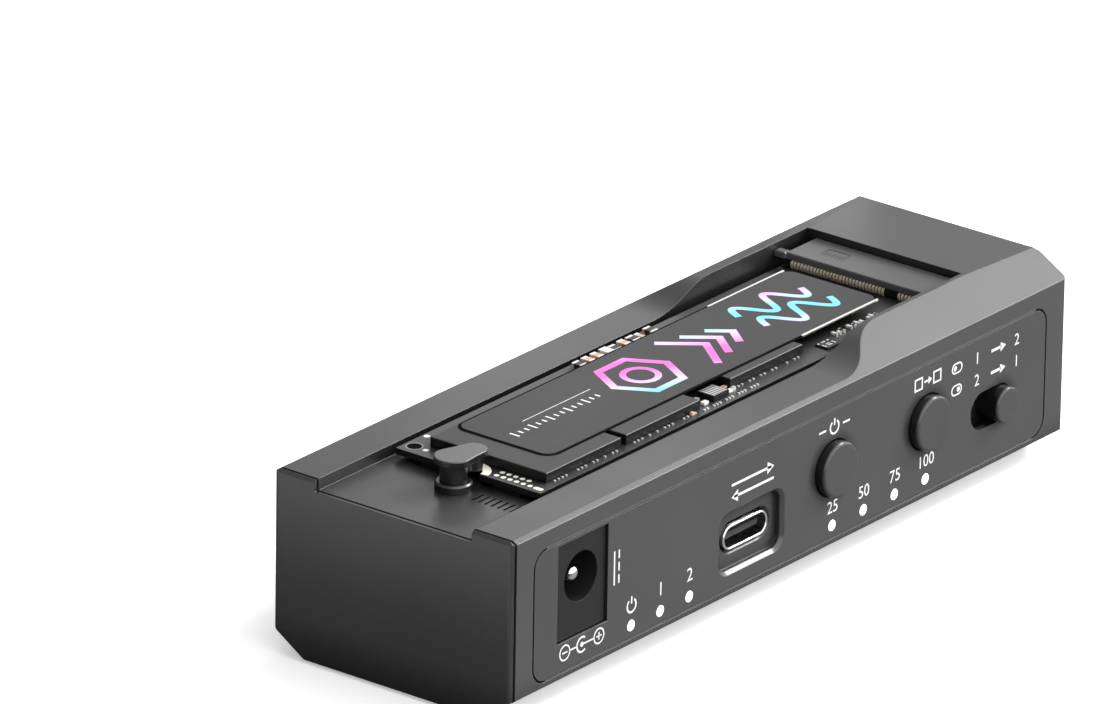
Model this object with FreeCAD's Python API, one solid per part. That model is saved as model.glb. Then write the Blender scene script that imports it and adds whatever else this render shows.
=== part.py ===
import FreeCAD, Part
import math
import os

os.makedirs("parts", exist_ok=True)
Vec = FreeCAD.Vector

# Drive duplicator: a bar-shaped desktop dock that copies between a hard drive plugged into its back
# and a stick-shaped solid-state drive lying in the bay on top. Millimetres. X runs along the bar, the
# front with the buttons faces -Y, +Z is up. The origin is the middle of the footprint, on the desk.

# ---- Outer form ------------------------------------------------------------------------------
rim_width = 6.2           # low walls in front of and behind the drive bay
base_rise = 3.1           # height of the sloping base band
base_run = 4.8            # how far the base band slopes in
face_height = 23.2        # upper edge of the upright front and back faces, above the underside
rim_step = 0.4            # flat tops of the rims above that edge
crown_rise = 2.85         # raised end above the rims
crown_front_run = 5.6     # width of the long slope in front of the crown
crown_back_run = 4.4      # width of the slope behind it
crown_back_strip = 2.4    # narrow strip between the back slope and the socket pocket
crown_end_fall = 0.35     # how much the crown drops towards its end face
ramp_before_tip = 28.3    # where the rims start to rise, before the drive's contact end
ramp_run = 12.5
corner_radius = 0.7
end_bevel = 0.4

# ---- Shell -----------------------------------------------------------------------------------
wall = 2.0
cover_floor = 1.6         # thickness of the bottom cover
lip_height = 1.2          # lip of the cover inside the housing
lip_thickness = 1.0
lip_corner = 0.5
fit_gap = 0.1             # between parts that are pushed together
running_gap = 0.05        # around shafts and behind sliding flanges
bay_depth = 1.5           # bay floor below the rims
bay_floor_thickness = 1.8
bay_margin = 0.9          # clear space beside the drive, each side
boss_radius = 2.6         # pillars that the housing screws bite into
boss_inset_x = 5.2
boss_inset_y = 7.6
pad_stand = 0.5           # how far the rubber pad holds the underside off the desk
pad_seat = 0.6            # depth of the pad's recess
pad_margin_x = 14.0       # pad from the ends of the bar
pad_margin_y = 3.2        # pad from the long edges of the flat underside
pad_corner = 3.0
pad_chamfer = 0.2

# ---- Solid-state drive -----------------------------------------------------------------------
drive_length = 80.0
drive_width = 22.0
drive_board_thickness = 0.8
drive_lift = 0.6          # underside of the drive above the bay floor
drive_inset = 14.3        # from the open end of the bar to the drive
drive_shoulder = 1.075    # step on each side of the narrow contact edge
drive_tongue_length = 4.0
drive_notch_radius = 1.75
key_offset = 6.0          # middle of the key slot from the drive's centre line
key_width = 1.2
key_depth = 3.5
chip_height = 1.3
chip_chamfer = 0.1
chip_front_margin = 1.4   # chips from the drive's front edge
memory_back_margin = 3.0  # memory chips from its back edge
memory_inset = 2.9        # first memory chip from the latch end
memory_span = 14.5
memory_gap = 1.0
memory_to_controller = 7.6
controller_setback = 1.2  # controller behind the front of the memory chips
controller_back_margin = 6.0
label_thickness = 0.15
label_inset_x = 7.15
label_inset_front = 4.3
label_inset_back = 3.5
label_corner = 1.6
capacitor_height = 0.6
capacitor_width = 1.0
capacitor_depth = 1.8
capacitor_pitch = 1.9
capacitor_margin = 0.8    # capacitors from the drive's back edge
back_capacitors = 9
front_capacitors = 8
regulator_span = 3.6
regulator_height = 0.9
part_gap = 0.8            # small parts from the chips beside them

# ---- Socket pocket in the raised end ---------------------------------------------------------
pocket_past_drive = 2.7
socket_grip = 3.8         # how far the drive goes into its socket
socket_rise = 1.2         # top of the socket above the drive
socket_cheek = 1.0        # socket beyond the contact edge, each side
socket_lip = 0.4          # lower jaw in front of the upper one
slot_play = 0.15          # around the drive in the socket
socket_room = 0.3         # around the socket
plate_thickness = 0.8     # cover plate on the socket
plate_front_side = 0.7    # plate from the front and back walls of the bay
plate_back_side = 1.6
plate_chamfer = 0.12
contact_pitch = 0.5
contact_width = 0.25
contact_reach = 0.35
contacts_long_side = 29
contacts_short_side = 5

# ---- Turning latch ---------------------------------------------------------------------------
latch_gap_to_drive = 2.7  # axis to the drive's end
latch_ring_radius = 2.3
latch_ring_height = 1.05
latch_ring_chamfer = 0.2
latch_shaft_radius = 1.9
latch_nut_flange = 0.8
latch_nut_height = 0.8
latch_head_radius = 2.35
latch_head_thickness = 0.8
latch_head_chamfer = 0.12
latch_rise = 2.9          # top of the latch above the drive
latch_arm = 3.4
latch_toe_radius = 1.65
latch_foot_radius = 1.3
latch_neck_share = 0.7    # half width of the neck as a share of the toe's radius
latch_rest_angle = -28.0
latch_pin_radius = 0.95
latch_clearance = 0.3     # latch toe above the drive

# ---- Front panel and its controls ------------------------------------------------------------
panel_inset = 4.3         # panel from each end of the bar
panel_base = 0.85         # panel above the base band
panel_head = 2.45         # panel below the upper edge of the face
panel_thickness = 0.8
panel_corner = 2.2
panel_gap = 0.25
jack_past_boss = 1.05     # free space between the corner pillar and the jack
jack_width = 9.5
jack_drop = 5.3           # bore axis below the bay floor's underside
jack_depth = 13.6
jack_recess = 0.35
jack_chamfer = 0.6
jack_bore_radius = 3.2
jack_bore_depth = 9.5
jack_pin_radius = 1.0
jack_pin_setback = 0.7
jack_pin_round = 0.45
spring_width = 1.2
spring_thickness = 0.25
spring_lift = 0.75        # crest of the side spring above the bottom of the bore
spring_run = 5.6          # length of the side spring
jack_to_usb = 33.2
usb_rise = 2.1            # middle of the data socket above the main board
usb_width = 8.94
usb_height = 3.26
usb_shell = 0.3
usb_depth = 7.3
usb_back_wall = 1.2
usb_tongue_width = 6.6
usb_tongue_thickness = 0.7
usb_tongue_setback = 0.6
usb_root = 1.4
usb_leg_width = 1.0
usb_leg_depth = 0.8
usb_leg_spread = 2.4
usb_recess_width = 13.2
usb_recess_height = 8.4
usb_recess_corner = 2.0
usb_recess_depth = 1.1
usb_bevel = 0.45
light_radius = 0.7
light_drop = 0.7          # lights below the main board
jack_to_lights = 9.6
status_light_pitch = 5.7
status_lights = 3
progress_lights = 4
usb_to_button = 16.3
button_pitch = 19.0
button_rise = 5.3         # button axis above the main board
button_radius = 3.57
button_gap = 0.15
button_stand = 1.3
button_round = 0.45
button_travel = 0.5
flange_thickness = 0.8
flange_width = 0.9
stem_radius = 1.75
stem_length = 2.4
plunger_radius = 1.45
plunger_seat = 0.6
switch_half_width = 3.0
switch_depth = 3.4
switch_gap = 0.25         # switch beyond the button's travel
switch_chamfer = 0.4
button_to_knob = 15.0     # second button to the knob at the raised end of its slot
slot_rise = 3.1           # slot axis above the main board
slot_height = 5.0
knob_radius = 2.35
knob_travel = 3.4
knob_stand = 1.5
knob_round = 0.35
knob_plate_half = 5.4     # guide plate behind the wall
knob_plate_rise = 3.2
knob_plate_thickness = 0.6
knob_plate_to_boss = 0.5
peg_half = 0.9
peg_length = 3.6
slide_switch_half = 4.6
slide_switch_depth = 4.2
slide_switch_back = 2.2   # switch behind the guide plate
slide_switch_rise = 2.6
channel_play = 0.2
channel_end_play = 0.4

# ---- Boards and what stands on them ----------------------------------------------------------
board_height = 6.2        # underside of the main board above the underside of the bar
board_thickness = 1.6
board_end_gap = 6.2       # boards from the housing's end walls
board_side_gap = 1.1
upper_board_side_gap = 0.5
board_corner = 1.0
post_radius = 2.0
post_inset_y = 4.5
post_past_light = 0.9
post_inset_x = 3.2
screw_radius = 0.65
screw_clearance = 0.3
screw_head_radius = 1.8
screw_head_height = 0.8
screw_bite = 6.0          # housing screw in its pillar
board_screw_bite = 1.4
screw_spare = 0.4         # hole beyond the screw's tip
upper_screw_past_bay = 2.2
upper_screw_inset = 2.5
sata_from_end = 33.0
sata_length = 42.6
sata_height = 5.6
sata_stand = 5.0          # how far the drive socket stands out of the back
sata_corner = 1.0
sata_play = 0.2
blade_slot = 1.6
blade_depth = 5.6
blade_hook = 1.4
blade_hook_drop = 0.9
signal_slot_from_end = 3.1
signal_slot_length = 10.6
signal_contacts = 7
power_slot_from_end = 17.6
power_slot_length = 21.4
power_contacts = 15
blade_pitch = 1.27
blade_contact_width = 0.4
blade_contact_height = 0.25
blade_contact_setback = 0.8
first_contact = 2.1       # first spring from the hooked end of its slot
link_past_button = 4.0    # stacking connector from the first button
link_length = 26.0
link_depth = 5.0
link_from_back = 5.0      # stacking connector from the back edge of the main board
link_step = 0.6
link_base = 3.0
link_pins = 19
link_pin_reach = 0.6
link_pin_height = 0.3
bridge_size = 10.0
bridge_before_button = 14.0
bridge_back = 1.5
bridge_height = 1.2
bridge_legs = 12
copy_size = 8.0
copy_past_button = 10.0
copy_front = 2.5
copy_height = 1.0
copy_legs = 10
leg_reach = 0.6
leg_height = 0.2
package_chamfer = 0.15
lamp_half = 1.2
lamp_size = 1.3

# ---- Worked-out places -----------------------------------------------------------------------
jack_from_end = boss_inset_x + boss_radius + jack_past_boss + jack_width / 2
knob_to_end = boss_inset_x + boss_radius + knob_plate_to_boss + knob_plate_half
length = jack_from_end + jack_to_usb + usb_to_button + button_pitch + button_to_knob + knob_to_end
depth = drive_width + 2 * (bay_margin + rim_width)
open_end = -length / 2
raised_end = length / 2
front = -depth / 2
back = depth / 2
underside = pad_stand
floor_top = underside + cover_floor
seam = underside + base_rise
lip_top = seam + lip_height
face_top = underside + face_height
rim_top = face_top + rim_step
crown_top = rim_top + crown_rise
inner_x = length / 2 - wall
inner_y = depth / 2 - wall
wall_back = front + wall
bay_floor = rim_top - bay_depth
ceiling = bay_floor - bay_floor_thickness
bay_half = drive_width / 2 + bay_margin
boss_places = [(sx * (length / 2 - boss_inset_x), sy * (depth / 2 - boss_inset_y))
               for sx in (-1, 1) for sy in (-1, 1)]

drive_half = drive_width / 2
tongue_half = drive_half - drive_shoulder
drive_end = open_end + drive_inset
drive_tip = drive_end + drive_length
drive_bottom = bay_floor + drive_lift
drive_top = drive_bottom + drive_board_thickness
chips_top = drive_top + chip_height
chip_front = -drive_half + chip_front_margin
memory_back = drive_half - memory_back_margin
controller_front = chip_front + controller_setback
controller_back = drive_half - controller_back_margin
memory_starts = [drive_end + memory_inset, drive_end + memory_inset + memory_span + memory_gap]
controller_start = memory_starts[-1] + memory_span + memory_to_controller
key_y = -key_offset
ramp_foot = drive_tip - ramp_before_tip
ramp_head = ramp_foot + ramp_run
pocket_end = drive_tip + pocket_past_drive
socket_front = drive_tip - socket_grip
socket_top = drive_top + socket_rise
latch_x = drive_end - latch_gap_to_drive
latch_top = drive_top + latch_rise

board_bottom = underside + board_height
board_top = board_bottom + board_thickness
board_front = -inner_y + board_side_gap
board_back = inner_y - board_side_gap
board_half_x = inner_x - board_end_gap
link_back = board_back - link_from_back
link_front = link_back - link_depth
upper_board_bottom = ceiling - board_thickness
sata_middle = open_end + sata_from_end
sata_axis = board_bottom + board_thickness / 2
sata_tip = back + sata_stand

panel_back = front + panel_thickness
panel_bottom = seam + panel_base
panel_top = face_top - panel_head
jack_middle = open_end + jack_from_end
jack_axis = ceiling - jack_drop
jack_front = front + jack_recess
usb_middle = jack_middle + jack_to_usb
usb_axis = board_top + usb_rise
usb_floor = front + usb_recess_depth
usb_front = usb_floor - fit_gap
usb_back = usb_front + usb_depth
button_places = [usb_middle + usb_to_button + i * button_pitch for i in range(2)]
button_axis = board_top + button_rise
flange_front = wall_back + running_gap
flange_back = flange_front + flange_thickness
stem_tip = flange_back + stem_length
switch_front = stem_tip + button_travel + switch_gap
light_axis = board_bottom - light_drop
status_places = [jack_middle + jack_to_lights + i * status_light_pitch for i in range(status_lights)]
progress_pitch = button_pitch / (progress_lights - 1)
progress_places = [button_places[0] + i * progress_pitch for i in range(progress_lights)]
light_places = status_places + progress_places
knob_x = button_places[-1] + button_to_knob
slot_middle = knob_x - knob_travel / 2
slot_length = knob_travel + slot_height
slot_axis = board_top + slot_rise
knob_plate_back = flange_front + knob_plate_thickness


# ---- Shape helpers ---------------------------------------------------------------------------
def block(x0, x1, y0, y1, z0, z1):
    """Box between two corners."""
    return Part.makeBox(x1 - x0, y1 - y0, z1 - z0, Vec(x0, y0, z0))


def loop_face(points):
    """Flat face inside a closed run of straight edges."""
    return Part.Face(Part.makePolygon(points + [points[0]]))


def section_along_x(outline, x0, x1):
    """Extrude a (y, z) outline along X."""
    face = loop_face([Vec(x0, y, z) for y, z in outline])
    return face.extrude(Vec(x1 - x0, 0, 0))


def rounded_slab(x0, x1, y0, y1, radius, z0, z1):
    """Upright block with rounded vertical edges."""
    slab = block(x0, x1, y0, y1, z0, z1)
    upright = [e for e in slab.Edges if abs(e.tangentAt(e.FirstParameter).z) > 0.99]
    return slab.makeFillet(radius, upright)


def rounded_window(x, z, width, height, radius, y0, y1):
    """Rounded rectangle seen from the front, running from y0 back to y1."""
    slab = block(x - width / 2, x + width / 2, y0, y1, z - height / 2, z + height / 2)
    through = [e for e in slab.Edges if abs(e.tangentAt(e.FirstParameter).y) > 0.99]
    return slab.makeFillet(radius, through)


def pill(x, z, width, height, y0, y1):
    """Slot with round ends, running from y0 back to y1."""
    ends = [rod_y(x + side * (width - height) / 2, z, height / 2, y0, y1) for side in (-1, 1)]
    middle = block(x - (width - height) / 2, x + (width - height) / 2, y0, y1, z - height / 2, z + height / 2)
    return join(middle, ends)


def rod_y(x, z, radius, y0, y1):
    return Part.makeCylinder(radius, y1 - y0, Vec(x, y0, z), Vec(0, 1, 0))


def rod_z(x, y, radius, z0, z1):
    return Part.makeCylinder(radius, z1 - z0, Vec(x, y, z0))


def flare(x, z, width, height, radius, y_wide, y_narrow, spread):
    """Bevelled mouth: a rounded rectangle that is wider by spread all round at y_wide."""
    wires = []
    for y, extra in ((y_wide, spread), (y_narrow, 0.0)):
        slab = rounded_window(x, z, width + 2 * extra, height + 2 * extra, radius + extra, y, y + 1)
        front_face = min(slab.Faces, key=lambda f: f.CenterOfMass.y)
        wires.append(front_face.OuterWire)
    return Part.makeLoft(wires, True, True)


def join(first, others):
    return first.fuse(others).removeSplitter()


def chamfer_top(shape, size):
    """Bevel the edges of the highest face."""
    top = shape.BoundBox.ZMax
    return shape.makeChamfer(size, [e for e in shape.Edges if e.BoundBox.ZMin > top - 0.001])


def round_front(shape, radius):
    """Round the edges of the foremost face."""
    nose = shape.BoundBox.YMin
    return shape.makeFillet(radius, [e for e in shape.Edges if e.BoundBox.YMax < nose + 0.001])


# ---- Housing, bottom cover and front panel ---------------------------------------------------
def outer_form():
    """The bar as one block: the end section and the side profile crossed, corners rounded."""
    strip_edge = crown_top - crown_end_fall
    section = [(front + base_run, underside), (back - base_run, underside), (back, seam),
               (back, face_top), (back - crown_back_run, strip_edge),
               (back - crown_back_run - crown_back_strip, crown_top),
               (front + crown_front_run, crown_top), (front, face_top), (front, seam)]
    bar = section_along_x(section, open_end, raised_end)

    foot = Vec(ramp_foot, front, rim_top)
    head = Vec(ramp_head, front, crown_top)
    middle = (foot + head) * 0.5
    ramp_radius = (ramp_run ** 2 + crown_rise ** 2) / (4 * crown_rise)
    half_turn = math.asin(ramp_run / 2 / ramp_radius) / 2
    sag = Vec(ramp_radius * math.sin(half_turn), 0, ramp_radius * (1 - math.cos(half_turn)))
    lower_arc = Part.Arc(foot, foot + sag, middle).toShape()
    upper_arc = Part.Arc(middle, head - sag, head).toShape()
    end_top = crown_top - crown_end_fall
    straight = [head, Vec(pocket_end, front, crown_top), Vec(raised_end - end_bevel, front, end_top),
                Vec(raised_end, front, end_top - end_bevel), Vec(raised_end, front, underside),
                Vec(open_end, front, underside), Vec(open_end, front, rim_top - end_bevel),
                Vec(open_end + end_bevel, front, rim_top), foot]
    profile = Part.Face(Part.Wire([lower_arc, upper_arc] + list(Part.makePolygon(straight).Edges)))
    side = profile.extrude(Vec(0, depth, 0))
    plan = rounded_slab(open_end, raised_end, front, back, corner_radius, underside, crown_top)
    return bar.common(side).common(plan)


def drive_bay():
    """What is cut out of the top for the drive: the open-ended bay, the window under the drive
    and the shaft for its socket."""
    window_end_rim = 3.6
    window_side_rim = 2.0
    window_before_socket = 1.8
    window_corner = 1.5
    bay = block(open_end - 1, pocket_end, -bay_half, bay_half, bay_floor, crown_top + 1)
    window = rounded_slab(drive_end + window_end_rim, socket_front - window_before_socket,
                          -drive_half + window_side_rim, drive_half - window_side_rim,
                          window_corner, ceiling - 1, bay_floor + 1)
    shaft = block(socket_front - socket_room, pocket_end, -drive_half - fit_gap, drive_half + fit_gap,
                  ceiling - 1, bay_floor + 1)
    return [bay, window, shaft]


def front_openings(y0, y1):
    """Holes that the front panel and the housing wall behind it share."""
    cuts = [block(jack_middle - jack_width / 2 - fit_gap, jack_middle + jack_width / 2 + fit_gap,
                  y0, y1, board_top - fit_gap, ceiling),
            pill(slot_middle, slot_axis, slot_length, slot_height, y0, y1)]
    cuts += [rod_y(x, button_axis, button_radius + button_gap, y0, y1) for x in button_places]
    cuts += [rod_y(x, light_axis, light_radius + running_gap, y0, y1) for x in light_places]
    return cuts


def panel_outline(y0, y1, grow):
    """The front panel's rounded outline, grown all round by grow."""
    return rounded_window(0, (panel_bottom + panel_top) / 2, length - 2 * (panel_inset - grow),
                          panel_top - panel_bottom + 2 * grow, panel_corner + grow, y0, y1)


def usb_window(y0, y1):
    """The clear opening of the recess round the data socket, inside its bevel."""
    return rounded_window(usb_middle, usb_axis, usb_recess_width - 2 * usb_bevel,
                          usb_recess_height - 2 * usb_bevel, usb_recess_corner - usb_bevel, y0, y1)


def sata_window(play, y0, y1, z0, z1):
    return block(sata_middle - sata_length / 2 - play, sata_middle + sata_length / 2 + play, y0, y1, z0, z1)


def top_housing():
    """Upper shell: walls, bay floor, raised end, corner pillars and the drive's two rests."""
    rest_start = 0.4
    rest_run = 1.4
    rest_half = 2.0
    body = outer_form().cut(block(open_end, raised_end, front, back, 0, seam))
    body = body.cut(block(-inner_x, inner_x, -inner_y, inner_y, seam - 1, ceiling))
    bosses = [rod_z(x, y, boss_radius, floor_top + fit_gap, ceiling + 1) for x, y in boss_places]
    body = join(body, bosses).cut(drive_bay())
    rests = [block(drive_end + rest_start, drive_end + rest_start + rest_run, y - rest_half, y + rest_half,
                   bay_floor, drive_bottom) for y in (-drive_half / 2, drive_half / 2)]
    body = join(body, rests)

    pilot = screw_radius + fit_gap
    cuts = [rod_z(x, y, pilot, underside, floor_top + screw_bite + screw_spare) for x, y in boss_places]
    cuts += [rod_z(x, y, pilot, ceiling - 1, ceiling + board_screw_bite + screw_spare)
             for x, y in upper_screw_places()]
    cuts.append(panel_outline(front - 1, panel_back, panel_gap))
    cuts += front_openings(front - 1, wall_back + 0.5)
    cuts.append(usb_window(front, usb_floor))
    cuts.append(flare(usb_middle, usb_axis, usb_width + 2 * fit_gap, usb_height + 2 * fit_gap,
                      usb_height / 2 + fit_gap - 0.01, usb_floor, usb_floor + usb_bevel, usb_bevel))
    cuts.append(pill(usb_middle, usb_axis, usb_width + 2 * fit_gap, usb_height + 2 * fit_gap,
                     usb_floor, wall_back + 0.5))
    cuts.append(sata_window(sata_play, inner_y - 0.5, back + 1, sata_axis - sata_height / 2 - sata_play,
                            sata_axis + sata_height / 2 + sata_play))
    cuts.append(rod_z(latch_x, 0, latch_shaft_radius + fit_gap, ceiling - 1, bay_floor + 1))
    return body.cut(cuts)


def bottom_cover():
    """Lower shell: sloping base band, floor, lip inside the housing and four board posts."""
    body = outer_form().common(block(open_end, raised_end, front, back, 0, seam))
    slope = base_run / base_rise
    floor_edge_gap = 0.3
    hollow_low = depth / 2 - base_run - floor_edge_gap
    hollow_high = min(hollow_low + slope * (seam - floor_top), inner_y - fit_gap - lip_thickness)
    over = lip_top + 1
    hollow = section_along_x([(-hollow_low, floor_top), (hollow_low, floor_top), (hollow_high, seam),
                              (hollow_high, over), (-hollow_high, over), (-hollow_high, seam)],
                             -inner_x + fit_gap + lip_thickness, inner_x - fit_gap - lip_thickness)
    lip = rounded_slab(-inner_x + fit_gap, inner_x - fit_gap, -inner_y + fit_gap, inner_y - fit_gap,
                       lip_corner, seam - 0.5, lip_top)
    reliefs = [rod_z(x, y, boss_radius + fit_gap, floor_top, over) for x, y in boss_places]
    reliefs.append(sata_window(2 * sata_play, board_back - 1, back - 2 * sata_play,
                               sata_axis - sata_height / 2 - sata_play, over))
    body = join(body, [lip]).cut([hollow] + reliefs)
    body = join(body, [rod_z(x, y, post_radius, floor_top - 0.5, board_bottom) for x, y in board_posts()])

    clear = screw_radius + screw_clearance
    cuts = [rod_z(x, y, screw_radius + fit_gap, board_bottom - board_screw_bite - screw_spare,
                  board_bottom + 1) for x, y in board_screw_places()]
    for x, y in boss_places:
        cuts.append(rod_z(x, y, clear, 0, floor_top + 1))
        cuts.append(rod_z(x, y, screw_head_radius + fit_gap, 0, underside + screw_head_height))
    cuts.append(pad_outline(fit_gap / 2, underside - 1, underside + pad_seat))
    return body.cut(cuts)


def board_posts():
    """Four posts that carry the main board, placed between the parts on it."""
    between_buttons = (button_places[0] + button_places[1]) / 2
    beside_light = status_places[0] - post_past_light
    return [(beside_light, board_front + post_inset_y), (between_buttons, board_front + post_inset_y),
            (beside_light, board_back - post_inset_y), (board_half_x - post_inset_x, board_back - post_inset_y)]


def board_screw_places():
    """The main board is screwed down at one front post and at the back post of the other end."""
    posts = board_posts()
    return [posts[0], posts[3]]


def upper_screw_places():
    """Two screws, at opposite corners, hold the upper board up against the thick rims."""
    y = bay_half + upper_screw_past_bay
    return [(jack_middle + jack_width, -y), (board_half_x - upper_screw_inset, y)]


def pad_outline(grow, z0, z1):
    half_x = length / 2 - pad_margin_x + grow
    half_y = depth / 2 - base_run - pad_margin_y + grow
    return rounded_slab(-half_x, half_x, -half_y, half_y, pad_corner, z0, z1)


def rubber_pad():
    """Long anti-slip pad in a shallow recess of the underside."""
    pad = pad_outline(0, 0, underside + pad_seat)
    sole = [e for e in pad.Edges if e.BoundBox.ZMax < 0.001]
    return pad.makeChamfer(pad_chamfer, sole)


def front_panel():
    body = panel_outline(front, panel_back, 0)
    cuts = front_openings(front - 1, panel_back + 1)
    cuts.append(flare(usb_middle, usb_axis, usb_recess_width - 2 * usb_bevel,
                      usb_recess_height - 2 * usb_bevel, usb_recess_corner - usb_bevel,
                      front, front + usb_bevel, usb_bevel))
    cuts.append(usb_window(front, panel_back + 1))
    return body.cut(cuts)


def screw(x, y, seat, tip):
    """Screw with its head on the seat and its shank running to the tip."""
    head_start = seat - screw_head_height if tip > seat else seat
    head = rod_z(x, y, screw_head_radius, head_start, head_start + screw_head_height)
    shank = rod_z(x, y, screw_radius, min(seat, tip), max(seat, tip))
    return join(head, [shank])


def housing_screws():
    seat = underside + screw_head_height
    return Part.makeCompound([screw(x, y, seat, floor_top + screw_bite) for x, y in boss_places])


def board_screws():
    lower = [screw(x, y, board_top, board_bottom - board_screw_bite) for x, y in board_screw_places()]
    upper = [screw(x, y, upper_board_bottom, ceiling + board_screw_bite) for x, y in upper_screw_places()]
    return Part.makeCompound(lower + upper)


# ---- Boards and what stands on them ----------------------------------------------------------
def main_board():
    board = rounded_slab(-board_half_x, board_half_x, board_front, board_back, board_corner,
                         board_bottom, board_top)
    holes = [rod_z(x, y, screw_radius + screw_clearance, board_bottom - 1, board_top + 1)
             for x, y in board_screw_places()]
    return board.cut(holes)


def upper_board():
    start = jack_middle + jack_width / 2 + board_side_gap
    half = inner_y - upper_board_side_gap
    board = rounded_slab(start, board_half_x, -half, half, board_corner, upper_board_bottom, ceiling)
    holes = [rod_z(x, y, screw_radius + screw_clearance, upper_board_bottom - 1, ceiling + 1)
             for x, y in upper_screw_places()]
    return board.cut(holes)


def board_link():
    """Stacking connector that carries the signals between the two boards."""
    x0 = button_places[0] + link_past_button
    x1 = x0 + link_length
    base = block(x0, x1, link_front, link_back, board_top, board_top + link_base)
    mate = block(x0 + link_step, x1 - link_step, link_front + link_step, link_back - link_step,
                 board_top + link_base, upper_board_bottom)
    pitch = link_length / (link_pins + 1)
    pins = [block(x0 + (i + 0.8) * pitch, x0 + (i + 1.2) * pitch, link_front - link_pin_reach,
                  link_back + link_pin_reach, board_top, board_top + link_pin_height)
            for i in range(link_pins)]
    return join(base, [mate] + pins)


def chip(x, y, size, height, legs):
    """Flat-pack chip on the main board: bevelled body with a row of legs on two sides."""
    half = size / 2
    body = block(x - half, x + half, y - half, y + half, board_top + leg_height / 2, board_top + height)
    body = chamfer_top(body, package_chamfer)
    pitch = size / (legs + 1)
    feet = [block(x - half + (i + 0.8) * pitch, x - half + (i + 1.2) * pitch, y - half - leg_reach,
                  y + half + leg_reach, board_top, board_top + leg_height) for i in range(legs)]
    return join(body, feet)


def bridge_chip():
    return chip(button_places[0] - bridge_before_button, bridge_back, bridge_size, bridge_height, bridge_legs)


def copy_chip():
    return chip(button_places[0] + copy_past_button, -copy_front, copy_size, copy_height, copy_legs)


def board_lights():
    """Side-view lamps under the front edge of the main board, one behind each light pipe."""
    return Part.makeCompound([block(x - lamp_half, x + lamp_half, board_front, board_front + lamp_size,
                                    board_bottom - lamp_size, board_bottom) for x in light_places])


def light_pipe(x):
    """Clear rod from the lamp to the front."""
    return rod_y(x, light_axis, light_radius, front, board_front)


# ---- Drive socket and its cover plate --------------------------------------------------------
def m2_socket():
    """Edge socket for the drive: a jaw with a slot, its lower lip longer than the upper."""
    half = tongue_half + socket_cheek
    body = block(socket_front, pocket_end - fit_gap, -half, half, ceiling, socket_top)
    body = body.cut(block(socket_front - 1, socket_front + socket_lip, -half - 1, half + 1,
                          drive_top + slot_play, socket_top + 1))
    slot = block(socket_front - 1, drive_tip + 2 * slot_play, -tongue_half - slot_play,
                 tongue_half + slot_play, drive_bottom - slot_play, drive_top + slot_play)
    rib = block(drive_tip - key_depth + 2 * slot_play, drive_tip + 1, key_y - key_width / 2 + slot_play,
                key_y + key_width / 2 - slot_play, drive_bottom - 0.5, drive_top + 0.5)
    return body.cut(slot.cut(rib))


def m2_contacts():
    """Spring fingers that show at the mouth of the socket, in two groups beside the key."""
    first = key_width / 2 + 0.65
    ys = [key_y + first + i * contact_pitch for i in range(contacts_long_side)]
    ys += [key_y - first - i * contact_pitch for i in range(contacts_short_side)]
    x0 = socket_front + running_gap
    x1 = x0 + contact_reach
    heel = socket_top - fit_gap
    outline = [(x0, drive_top + fit_gap), (x1, drive_top + 2 * fit_gap), (x1, heel),
               (x1 - contact_reach / 3, heel), (x0, drive_top + 0.75)]
    fingers = []
    for y in ys:
        face = loop_face([Vec(x, y - contact_width / 2, z) for x, z in outline])
        fingers.append(face.extrude(Vec(0, contact_width, 0)))
    return Part.makeCompound(fingers)


def connector_plate():
    """Cover plate on the drive socket, with an ear at its back corner."""
    ear_reach = 0.3
    ear_width = 1.2
    x0 = socket_front + fit_gap
    z0 = socket_top
    z1 = socket_top + plate_thickness
    plate = block(x0, pocket_end - fit_gap, -bay_half + plate_front_side, bay_half - plate_back_side, z0, z1)
    ear = block(x0 - ear_reach, x0 - ear_reach + ear_width, bay_half - plate_back_side - fit_gap,
                bay_half - fit_gap, z0, z1)
    return chamfer_top(join(plate, [ear]), plate_chamfer)


# ---- Hard drive socket in the back -----------------------------------------------------------
sata_start = sata_middle - sata_length / 2
signal_slot = sata_start + signal_slot_from_end
power_slot = sata_start + power_slot_from_end


def sata_socket():
    """Socket for a hard drive: long body with a short and a long L-shaped blade slot."""
    body = rounded_window(sata_middle, sata_axis, sata_length, sata_height, sata_corner,
                          board_back + running_gap, sata_tip)
    cuts = []
    for start, span in ((signal_slot, signal_slot_length), (power_slot, power_slot_length)):
        cuts.append(block(start, start + span, sata_tip - blade_depth, sata_tip + 1,
                          sata_axis - blade_slot / 2, sata_axis + blade_slot / 2))
        cuts.append(block(start, start + blade_hook, sata_tip - blade_depth, sata_tip + 1,
                          sata_axis - blade_slot / 2 - blade_hook_drop, sata_axis))
    return body.cut(cuts)


def sata_contacts():
    """Signal and power contacts: seven and fifteen springs along the tops of the two slots."""
    top = sata_axis + blade_slot / 2
    springs = []
    for start, count in ((signal_slot, signal_contacts), (power_slot, power_contacts)):
        for i in range(count):
            x = start + first_contact + i * blade_pitch
            springs.append(block(x - blade_contact_width / 2, x + blade_contact_width / 2,
                                 sata_tip - blade_depth + blade_contact_setback / 2,
                                 sata_tip - blade_contact_setback, top - blade_contact_height, top))
    return Part.makeCompound(springs)


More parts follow.
